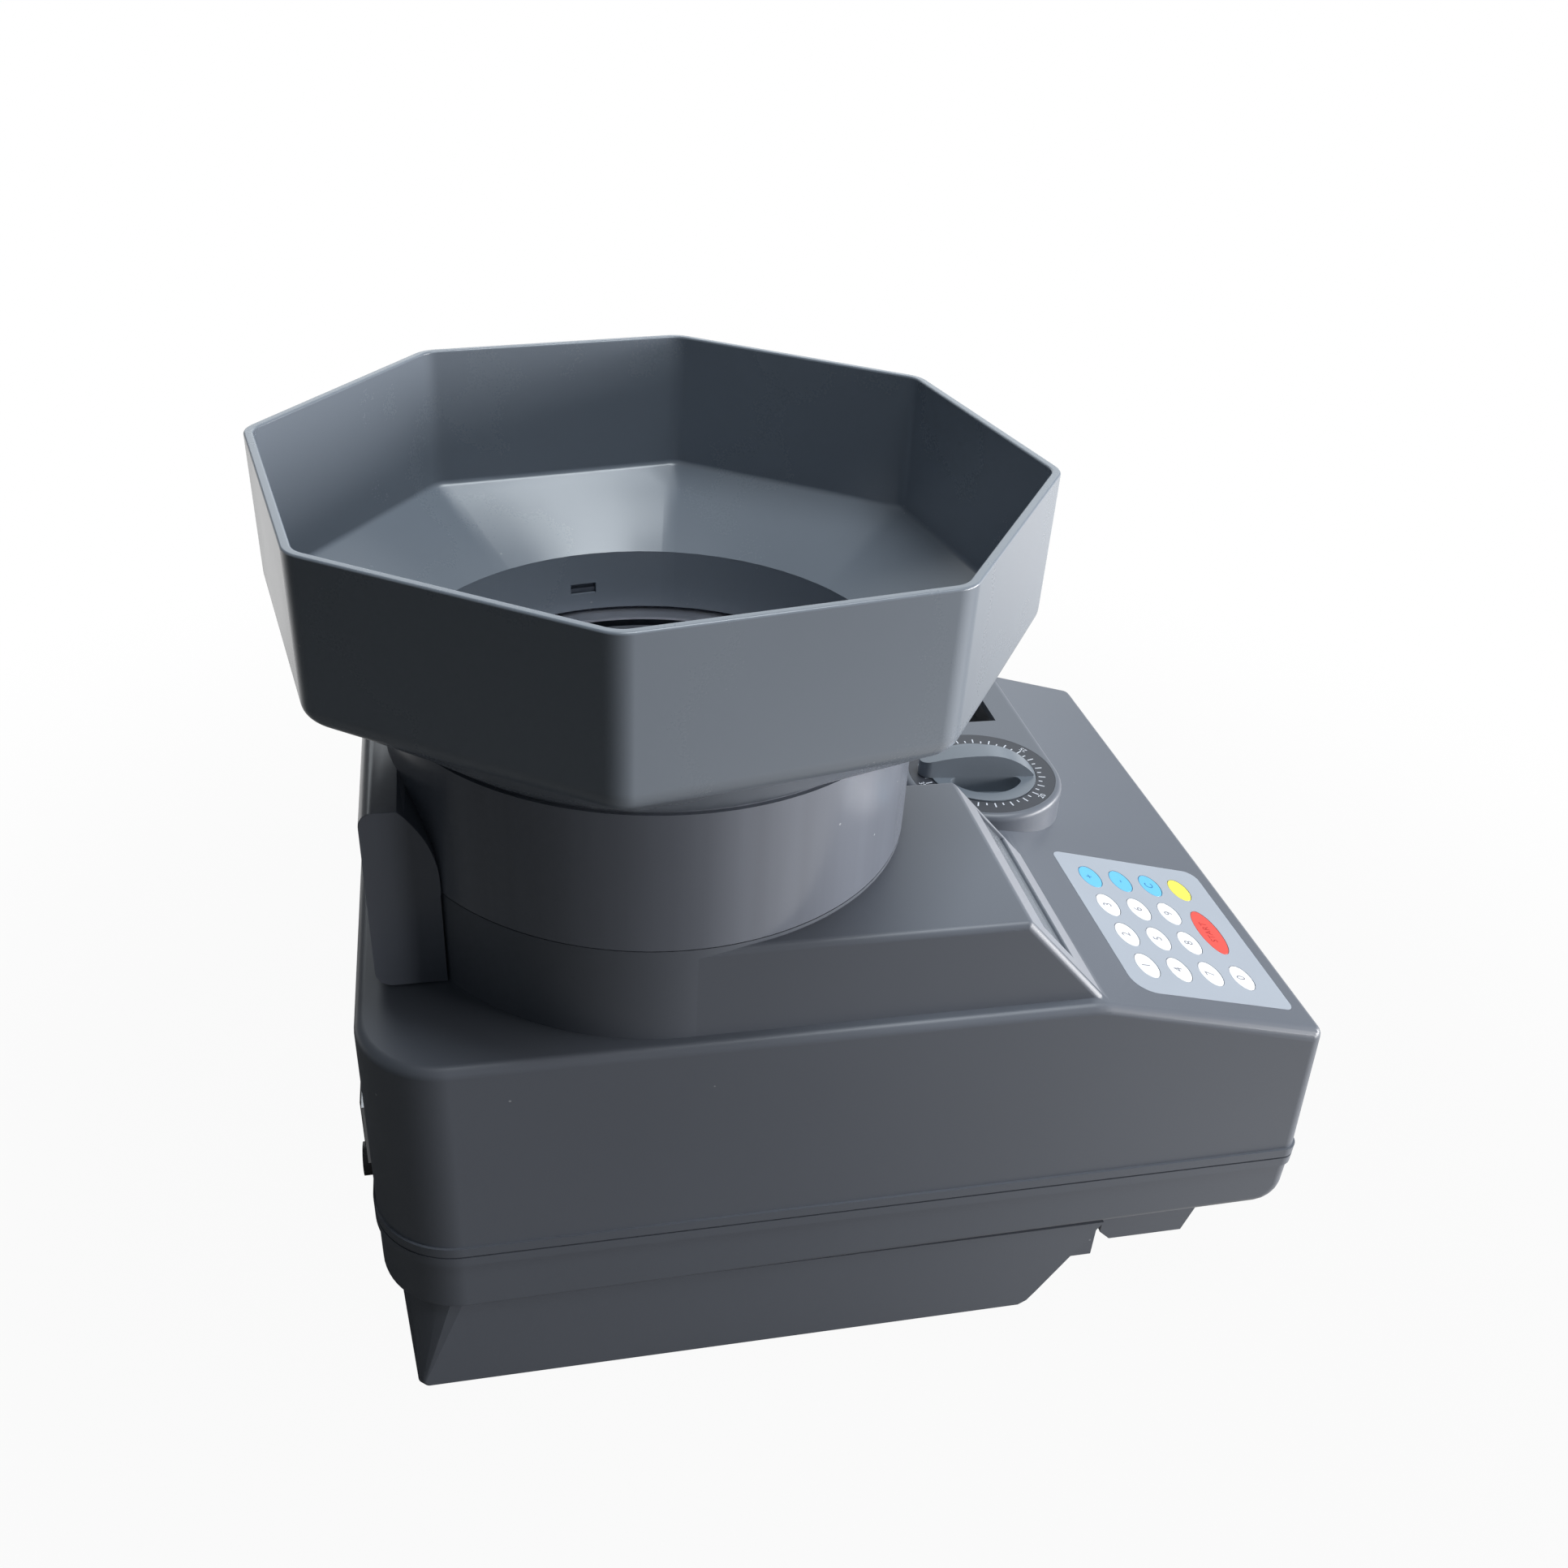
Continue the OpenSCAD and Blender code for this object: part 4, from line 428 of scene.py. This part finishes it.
def slopedFace(spec):  # its top line, the way down it and the way out of it
    top, foot = (Vector((0, *spec[end])) * mm for end in ("faceTop", "faceFoot"))
    down = (foot - top).normalized()
    return top, down, Vector((0, down.z, -down.y))


def windowEdge(line):  # the four edges of the display's opening, on the sloped face
    spec, slack = windowSpec, windowSpec["slack"]
    top, down, out = slopedFace(spec)
    for vertex in line.verts:
        spot = vertex.co - hopperAxis - top
        if abs(spot.dot(out)) > 0.05 * mm:
            return False
        if not -slack * mm < spot.x - spec["left"] * mm < (spec["wide"] + slack) * mm:
            return False
        if not -slack * mm < spot.dot(down) - spec["down"] * mm < (spec["tall"] + slack) * mm:
            return False
    return True


def markLitFace(shell, spec):  # the attribute "film" is 1 on the sloped face round the display, marking where a paler tone is painted in place of the front light falling on it
    top, down, out = slopedFace(spec)
    film = shell.data.attributes.new("film", "FLOAT", "CORNER")
    for face in shell.data.polygons:
        if face.normal.dot(out) > 0.9995 and abs((face.center - hopperAxis - top).dot(out)) < 0.1 * mm:
            for loop in face.loop_indices:
                film.data[loop].value = 1.0


# upright round walls: x, y and radius in millimetres from the hopper's axis
housingPosts = [(0, 0, 98.5), (48.8, -156.8, 36.2), (131.8, -156.8, 36.2), (-72.5, 83, 32), (144.5, 83, 32),
                (-72.5, 83, 33), (144.5, 83, 33), (-72.5, 83, 31.8), (144.5, 83, 31.8)]
ringPosts = [(0, 0, 98.5), (0, 0, 95.3), (0, 0, 99.7), (0, 0, 101.9)]
markLitFace(mergedCopy("top_cover", edge=0.6, pick=windowEdge, posts=housingPosts), windowSpec)
mergedCopy("lower_shell", posts=housingPosts)
for nodeName in ("base_housing", "coin_spout", "reject_spout", "feed_disc", "fuse_cap", "rear_plate",
                 "power_inlet", "switch_frame", "power_rocker", "rubber_feet"):
    mergedCopy(nodeName)
mergedCopy("feed_ring", edge=2.0, pick=tailEdge, posts=ringPosts)
mergedCopy("dial_knob", edge=0.7)
mergedCopy("keypad_overlay")
print("shells made")


# hopper: rings of points from the spigot up the outside, over the rim and down the inside
hopperSpec = {"apothem": 129.3, "corner": 12.0, "wall": 3.2, "turn": 33.2, "rim": 350.0, "bend": 295.0,
              "outerBend": 10.0, "innerBend": 3.0, "edge": 0.8, "neck": 97.5, "spigot": 95.0,
              "throat": 92.0, "seat": 266.5, "low": 247.0, "floorTop": 295.3, "floorDrop": 23.0,
              "cornerSteps": 10, "flatSteps": 6, "bendSteps": 12, "rimSteps": 4, "innerSteps": 8,
              "floorSteps": 8, "slots": 4, "slotSize": (8, 11, 4.5), "slotPlace": (94, 0, 256.75),
              "slotTurn": 10.7}
halfSide = tau / 16  # half the angle of one side of the octagon


def cornerEnd(apothem, corner):  # the corner arc's centre, and the angle where it meets the flat
    centre = (apothem - corner) / math.cos(halfSide)
    return centre, math.atan2(corner * math.sin(halfSide), centre + corner * math.cos(halfSide))


def octagonReach(apothem, corner, angle):
    centre, end = cornerEnd(apothem, corner)
    if abs(angle) < end:
        return centre * math.cos(angle) + math.sqrt(corner ** 2 - (centre * math.sin(angle)) ** 2)
    return apothem / math.cos(halfSide - abs(angle))


def quad(t, p, q, s):  # a curve from p to s that bends towards q
    return (1 - t) ** 2 * p + 2 * t * (1 - t) * q + t * t * s


def hopperSector(spec):  # the angles of one corner and the flat after it
    end = math.degrees(cornerEnd(spec["apothem"], spec["corner"])[1])
    arcs = [-end + 2 * end * i / spec["cornerSteps"] for i in range(spec["cornerSteps"] + 1)]
    flats = [end + (45 - 2 * end) * (i + 1) / (spec["flatSteps"] + 1) for i in range(spec["flatSteps"])]
    return [math.radians(angle) for angle in arcs + flats]


def hopperRows(spec):  # each row: height, share of octagon, apothem, corner radius, radius of the circle
    a, r, e = spec["apothem"], spec["corner"], spec["edge"]
    inner, innerCorner = a - spec["wall"], r - spec["wall"]
    seat, neck, bend, rim, throat = (spec[key] for key in ("seat", "neck", "bend", "rim", "throat"))
    funnel = math.atan((bend - seat) / (a - neck))
    reach = spec["outerBend"] * math.tan((math.pi / 2 - funnel) / 2)
    share = 1 - reach * math.cos(funnel) / (a - neck)
    rows = [(spec["low"], 0, a, r, spec["spigot"]), (seat, 0, a, r, spec["spigot"]), (seat, 0, a, r, neck)]
    for i in range(spec["bendSteps"] + 1):
        t = i / spec["bendSteps"]
        height = quad(t, bend - reach * math.sin(funnel), bend, bend + reach)
        rows.append((height, quad(t, share, 1, 1), a, r, neck))
    quarter = [i * tau / (4 * spec["rimSteps"]) for i in range(spec["rimSteps"] + 1)]
    for t in quarter:
        rows.append((rim - e + e * math.sin(t), 1, a - e + e * math.cos(t), r - e + e * math.cos(t), neck))
    for t in quarter:
        back = e * math.sin(t)
        rows.append((rim - e + e * math.cos(t), 1, inner + e - back, innerCorner + e - back, throat))
    floorTop = spec["floorTop"]
    slope = math.atan(spec["floorDrop"] / (inner - throat))
    turnIn = spec["innerBend"] * math.tan((math.pi / 2 - slope) / 2)
    inShare = 1 - turnIn * math.cos(slope) / (inner - throat)
    inHeight = floorTop - turnIn * math.sin(slope)
    for i in range(spec["innerSteps"] + 1):
        t = i / spec["innerSteps"]
        height = quad(t, floorTop + turnIn, floorTop, inHeight)
        rows.append((height, quad(t, 1, 1, inShare), inner, innerCorner, throat))
    for i in range(1, spec["floorSteps"] + 1):
        t = i / spec["floorSteps"]
        height = inHeight + (floorTop - spec["floorDrop"] - inHeight) * t
        rows.append((height, inShare * (1 - t), inner, innerCorner, throat))
    rows.append((spec["low"], 0, inner, innerCorner, throat))
    return rows


def cutSlots(piece, spec):  # the slots that the ring's snap hooks reach into
    cutters = bmesh.new()
    for k in range(spec["slots"]):
        turn = Matrix.Rotation(math.radians(spec["slotTurn"] + 90 * k), 3, "Z")
        made = bmesh.ops.create_cube(cutters, size=1)["verts"]
        bmesh.ops.scale(cutters, vec=Vector(spec["slotSize"]) * mm, verts=made)
        bmesh.ops.translate(cutters, vec=Vector(spec["slotPlace"]) * mm, verts=made)
        bmesh.ops.rotate(cutters, cent=(0, 0, 0), matrix=turn, verts=made)
        bmesh.ops.translate(cutters, vec=hopperAxis, verts=made)
    cutMesh = bpy.data.meshes.new("slots")
    cutters.to_mesh(cutMesh)
    cutters.free()
    cutter = bpy.data.objects.new("slots", cutMesh)
    bpy.context.collection.objects.link(cutter)
    cut = piece.modifiers.new("slots", "BOOLEAN")
    cut.operation = "DIFFERENCE"
    cut.solver = "EXACT"
    cut.object = cutter
    applied(piece)
    bpy.data.objects.remove(cutter)
    bpy.data.meshes.remove(cutMesh)


def makeHopper(spec):
    sector = hopperSector(spec)
    work = bmesh.new()
    rings = []
    for z, part, apothem, corner, circle in hopperRows(spec):
        ring = []
        for k in range(8):
            for angle in sector:
                turn = math.radians(spec["turn"] + 45 * k) + angle
                local = angle if angle < halfSide else angle - 2 * halfSide
                out = part * octagonReach(apothem, corner, local) + (1 - part) * circle
                ring.append(work.verts.new(fromAxis(out * math.cos(turn), out * math.sin(turn), z)))
        rings.append(ring)
    count = len(rings[0])
    for i in range(len(rings)):
        first, second = rings[i], rings[(i + 1) % len(rings)]
        for j in range(count):
            work.faces.new((first[j], first[(j + 1) % count], second[(j + 1) % count], second[j]))
    bmesh.ops.recalc_face_normals(work, faces=work.faces)
    mesh = bpy.data.meshes.new("hopper_shell")
    work.to_mesh(mesh)
    work.free()
    piece = newPiece("hopper_shell", mesh, slotOf["hopper"], bodyOf["hopper"])
    cutSlots(piece, spec)
    flattened(piece, 30)
    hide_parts("hopper")


makeHopper(hopperSpec)
print("hopper made")


# numerals: flat letters laid on a plane, as a bmesh in metres
def letterMesh(text, size, thick, turn):  # turn places the letters, whose origin is their middle
    curve = bpy.data.curves.new("letters", "FONT")
    curve.body = text
    curve.size = size * mm
    curve.align_x = "CENTER"
    curve.align_y = "CENTER"
    curve.extrude = thick / 2 * mm
    curve.resolution_u = 4
    carrier = bpy.data.objects.new("letters", curve)
    bpy.context.collection.objects.link(carrier)
    graph = bpy.context.evaluated_depsgraph_get()
    graph.update()
    mesh = bpy.data.meshes.new_from_object(carrier.evaluated_get(graph))
    bpy.data.objects.remove(carrier)
    bpy.data.curves.remove(curve)
    mesh.transform(turn)
    return mesh


# keys: their own caps with the rim eased, and a numeral printed on each
panelSpec = {"backHigh": 171.5, "frontHigh": 145.8, "front": 252.6, "back": 155}
panelFall = panelSpec["backHigh"] - panelSpec["frontHigh"]
panelAngle = math.atan(panelFall / (panelSpec["front"] - panelSpec["back"]))
keySpec = {"rim": 0.22, "signSize": 5.6, "wordSize": 4.6, "inkThick": 0.02, "inkLift": 0.012}
keyNumerals = {"key_1": "1", "key_2": "2", "key_3": "3", "key_4": "4", "key_5": "5", "key_6": "6",
               "key_7": "7", "key_8": "8", "key_9": "9", "key_0": "0", "key_blue_back": "+",
               "key_blue_middle": "-", "key_blue_front": "C", "key_yellow": "", "key_red": "START"}


def makeKey(nodeName, numeral):
    piece = mergedCopy(nodeName, edge=keySpec["rim"])
    mesh = piece.data
    ink = mesh.attributes.new("ink", "FLOAT", "POINT")
    low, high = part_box(nodeName)
    middle = Vector(((low[0] + high[0]) / 2, (low[1] + high[1]) / 2, 0))
    out = Vector((0, -math.sin(panelAngle), math.cos(panelAngle)))
    lift = max(v.co.dot(out) for v in mesh.vertices)
    if numeral:
        tilt = Matrix.Rotation(panelAngle, 4, "X")
        centre = Vector((middle.x, middle.y, 0))
        centre.z = (lift - centre.dot(out)) / out.z
        size = keySpec["signSize"] if len(numeral) == 1 else keySpec["wordSize"]
        place = Matrix.Translation(centre + out * keySpec["inkLift"] * mm) @ tilt
        letters = letterMesh(numeral, size, keySpec["inkThick"], place)
        work = bmesh.new()
        work.from_mesh(mesh)
        first = len(work.verts)
        work.from_mesh(letters)
        work.verts.ensure_lookup_table()
        layer = work.verts.layers.float.get("ink")
        for vertex in work.verts[first:]:
            vertex[layer] = 1.0
        work.to_mesh(mesh)
        work.free()
        bpy.data.meshes.remove(letters)
    mesh.materials.clear()
    mesh.materials.append(finishes[slotOf[nodeName]])


for nodeName, numeral in keyNumerals.items():
    makeKey(nodeName, numeral)
print("keys made")


# dial scale: ticks by a node tree, and numbers
scaleSpec = {"first": -217.4, "step": 8.0, "count": 41, "near": 25.6, "short": 1.7, "long": 3.1,
             "wide": 0.6, "thick": 0.03, "numbers": {0: "15", 10: "20", 20: "25", 30: "30", 40: "35"},
             "numberReach": 30.5, "numberSize": 3.6}


def tickTree():
    tree = bpy.data.node_groups.new("tick ring", "GeometryNodeTree")
    face = tree.interface
    face.new_socket("Geometry", in_out="OUTPUT", socket_type="NodeSocketGeometry")
    sizes = [(name, "Float") for name in ("First", "Step", "Near", "Short", "Long", "Wide", "Thick")]
    for name, kind in (("Count", "Int"), *sizes, ("Centre", "Vector"), ("Ink", "Material")):
        face.new_socket(name, in_out="INPUT", socket_type="NodeSocket" + kind)
    start = tree.nodes.new("NodeGroupInput")
    end = tree.nodes.new("NodeGroupOutput")

    def add(kind, settings, values, output=0):
        made = tree.nodes.new(kind)
        for key, value in settings.items():
            setattr(made, key, value)
        for key, value in values.items():
            if isinstance(value, bpy.types.NodeSocket):
                tree.links.new(value, made.inputs[key])
            else:
                made.inputs[key].default_value = value
        return made.outputs[output]

    def calc(operation, first, second):
        return add("ShaderNodeMath", {"operation": operation}, {0: first, 1: second})

    given = start.outputs
    index = add("GeometryNodeInputIndex", {}, {})
    odd = calc("MODULO", index, 2.0)
    shorter = calc("SUBTRACT", given["Short"], given["Long"])
    length = calc("ADD", given["Long"], calc("MULTIPLY", odd, shorter))
    turn = calc("ADD", given["First"], calc("MULTIPLY", index, given["Step"]))
    reach = calc("ADD", given["Near"], calc("MULTIPLY", length, 0.5))
    x = calc("MULTIPLY", reach, calc("COSINE", turn, 0.0))
    y = calc("MULTIPLY", reach, calc("SINE", turn, 0.0))
    spot = add("ShaderNodeCombineXYZ", {}, {0: x, 1: y})
    place = add("ShaderNodeVectorMath", {"operation": "ADD"}, {0: spot, 1: given["Centre"]})
    line = add("GeometryNodeMeshLine", {}, {"Count": given["Count"]})
    points = add("GeometryNodeSetPosition", {}, {"Geometry": line, "Position": place})
    bar = add("GeometryNodeMeshCube", {}, {"Size": (1.0, 1.0, 1.0)})
    size = add("ShaderNodeCombineXYZ", {}, {0: length, 1: given["Wide"], 2: given["Thick"]})
    spin = add("ShaderNodeCombineXYZ", {}, {2: turn})
    ticks = add("GeometryNodeInstanceOnPoints", {},
                {"Points": points, "Instance": bar, "Rotation": spin, "Scale": size})
    real = add("GeometryNodeRealizeInstances", {}, {0: ticks})
    inked = add("GeometryNodeSetMaterial", {}, {"Geometry": real, "Material": given["Ink"]})
    tree.links.new(inked, end.inputs[0])
    return tree


def makeTicks(spec):
    tree = tickTree()
    carrier = bpy.data.objects.new("dial_ticks", bpy.data.meshes.new("dial_ticks"))
    bpy.context.collection.objects.link(carrier)
    modifier = carrier.modifiers.new("ticks", "NODES")
    modifier.node_group = tree
    values = {"Count": spec["count"], "First": math.radians(spec["first"]),
              "Step": math.radians(spec["step"]), "Centre": tuple(dialCentre), "Ink": scaleInk}
    for name in ("Near", "Short", "Long", "Wide", "Thick"):
        values[name] = spec[name.lower()] * mm
    for item in tree.interface.items_tree:
        if item.in_out == "INPUT":
            modifier[item.identifier] = values[item.name]
    graph = bpy.context.evaluated_depsgraph_get()
    graph.update()
    mesh = bpy.data.meshes.new_from_object(carrier.evaluated_get(graph))
    bpy.data.objects.remove(carrier)
    work = bmesh.new()
    work.from_mesh(mesh)
    for index, number in spec["numbers"].items():
        turn = math.radians(spec["first"] + spec["step"] * index)
        x, y = spec["numberReach"] * math.cos(turn), spec["numberReach"] * math.sin(turn)
        spot = dialCentre + Vector((x, y, spec["thick"] / 2)) * mm
        place = Matrix.Translation(spot) @ Matrix.Rotation(turn + tau / 4, 4, "Z")
        letters = letterMesh(number, spec["numberSize"], spec["thick"], place)
        work.from_mesh(letters)
        bpy.data.meshes.remove(letters)
    work.to_mesh(mesh)
    work.free()
    newPiece("dial_marks", mesh, "scale", bodyOf["dial_plate"], scaleInk)


makeTicks(scaleSpec)
print("dial scale made")


# studio
# all in metres: the floor's shadow fades from shadowNear to shadowFar, and shiny faces see a bright floor
# behind the machine and at its left front, each zone rising between its two places
studioSpec = {"floorReach": 80.0, "floorDrop": 0.0002, "paper": tint(112, 110, 108), "paperRoughness": 0.9,
              "shadow": 0.05, "shadowNear": 0.28, "shadowFar": 0.75, "mirror": 0.25,
              "sky": (0.76, 0.88, 1.0, 1), "fill": 0.06, "behind": (0.05, 0.6),
              "bounce": 1.0, "bounceFront": (-0.05, 0.3), "bounceSide": (0.0, 0.12),
              "bounceEnd": (-0.7, -0.4)}


def makeStudio(spec):
    floorMesh = bpy.data.meshes.new("floor")
    work = bmesh.new()
    bmesh.ops.create_grid(work, x_segments=1, y_segments=1, size=spec["floorReach"])
    work.to_mesh(floorMesh)
    work.free()
    floor = bpy.data.objects.new("floor", floorMesh)
    floor.location.z = -spec["floorDrop"]
    bpy.context.collection.objects.link(floor)
    board = Board("floor paper", specular=0.0)
    far = board.node("ShaderNodeVectorMath", {"operation": "LENGTH"}, {0: board.place}, "Value")
    keep = board.node("ShaderNodeMapRange", {"interpolation_type": "SMOOTHSTEP"},
                      {"Value": far, "From Min": spec["shadowNear"], "From Max": spec["shadowFar"],
                       "To Min": spec["shadow"], "To Max": 0.0})
    rays = [board.node("ShaderNodeLightPath", {}, {}, kind) for kind in ("Is Camera Ray", "Is Glossy Ray")]
    across, along = (board.node("ShaderNodeSeparateXYZ", {}, {0: board.place}, axis) for axis in "XY")

    def rise(value, zone):  # 0 at the zone's start, 1 at its end
        return board.node("ShaderNodeMapRange", {"interpolation_type": "SMOOTHSTEP"},
                          {"Value": value, "From Min": zone[0], "From Max": zone[1],
                           "To Min": 0.0, "To Max": 1.0})

    behind = rise(across, spec["behind"])
    beside = rise(0.0 - along, spec["bounceFront"]) * rise(0.0 - across, spec["bounceSide"])
    beside = beside * rise(across, spec["bounceEnd"])
    glow = board.node("ShaderNodeEmission", {}, {"Color": (1, 1, 1, 1), "Strength": 1.0})
    board.finish(spec["paper"], spec["paperRoughness"])
    surface = Wire(board, board.shader.outputs[0])
    lit = rays[0] * (1.0 - keep) + rays[1] * (behind + beside * spec["bounce"])
    mix = board.node("ShaderNodeMixShader", {}, {0: lit, 1: surface, 2: glow})
    board.tree.links.new(mix.socket, board.out.inputs[0])
    floorMesh.materials.append(board.material)
    world = bpy.context.scene.world or bpy.data.worlds.new("world")
    bpy.context.scene.world = world
    world.use_nodes = True
    tree = world.node_tree
    tree.nodes.clear()

    def joined(operation, first, second):  # each value an output or a number
        made = tree.nodes.new("ShaderNodeMath")
        made.operation = operation
        for index, value in enumerate((first, second)):
            if isinstance(value, bpy.types.NodeSocket):
                tree.links.new(value, made.inputs[index])
            else:
                made.inputs[index].default_value = value
        return made.outputs[0]

    def background(colour, strength):
        made = tree.nodes.new("ShaderNodeBackground")
        made.inputs["Color"].default_value = colour
        made.inputs["Strength"].default_value = strength
        return made.outputs[0]

    path = tree.nodes.new("ShaderNodeLightPath").outputs
    shiny = joined("MULTIPLY", path["Is Glossy Ray"], spec["mirror"])
    seen = joined("MAXIMUM", path["Is Camera Ray"], shiny)
    both = joined("MAXIMUM", seen, path["Is Transmission Ray"])
    sky = tree.nodes.new("ShaderNodeMixShader")
    out = tree.nodes.new("ShaderNodeOutputWorld")
    sources = (both, background(spec["sky"], spec["fill"]), background((1, 1, 1, 1), 1.0))
    for index, source in enumerate(sources):
        tree.links.new(source, sky.inputs[index])
    tree.links.new(sky.outputs[0], out.inputs[0])


lamps = {
    "window light": {"place": (-0.55, -2.0, 0.42), "aim": (0, 0, 0.2), "size": (1.8, 0.6), "power": 76,
                     "colour": (1.0, 0.985, 0.98)},
    "top light": {"place": (-0.2, -0.4, 2.1), "aim": (0, 0, 0.2), "size": (0.9, 0.9), "power": 27,
                  "colour": (0.90, 0.96, 1.0)},
    "back light": {"place": (2.4, -0.3, 1.5), "aim": (0, 0, 0.3), "size": (3.2, 2.0), "power": 27,
                   "colour": (0.90, 0.96, 1.0)},
}


def softBox(name, spec):
    data = bpy.data.lights.new(name, "AREA")
    data.shape = "RECTANGLE"
    data.size, data.size_y = spec["size"]
    data.energy = spec["power"]
    data.color = spec["colour"]
    lamp = bpy.data.objects.new(name, data)
    bpy.context.collection.objects.link(lamp)
    lamp.location = spec["place"]
    lamp.rotation_euler = (Vector(spec["aim"]) - Vector(spec["place"])).to_track_quat("-Z", "Y").to_euler()


makeStudio(studioSpec)
for lampName, lampSpec in lamps.items():
    softBox(lampName, lampSpec)
print("studio made")
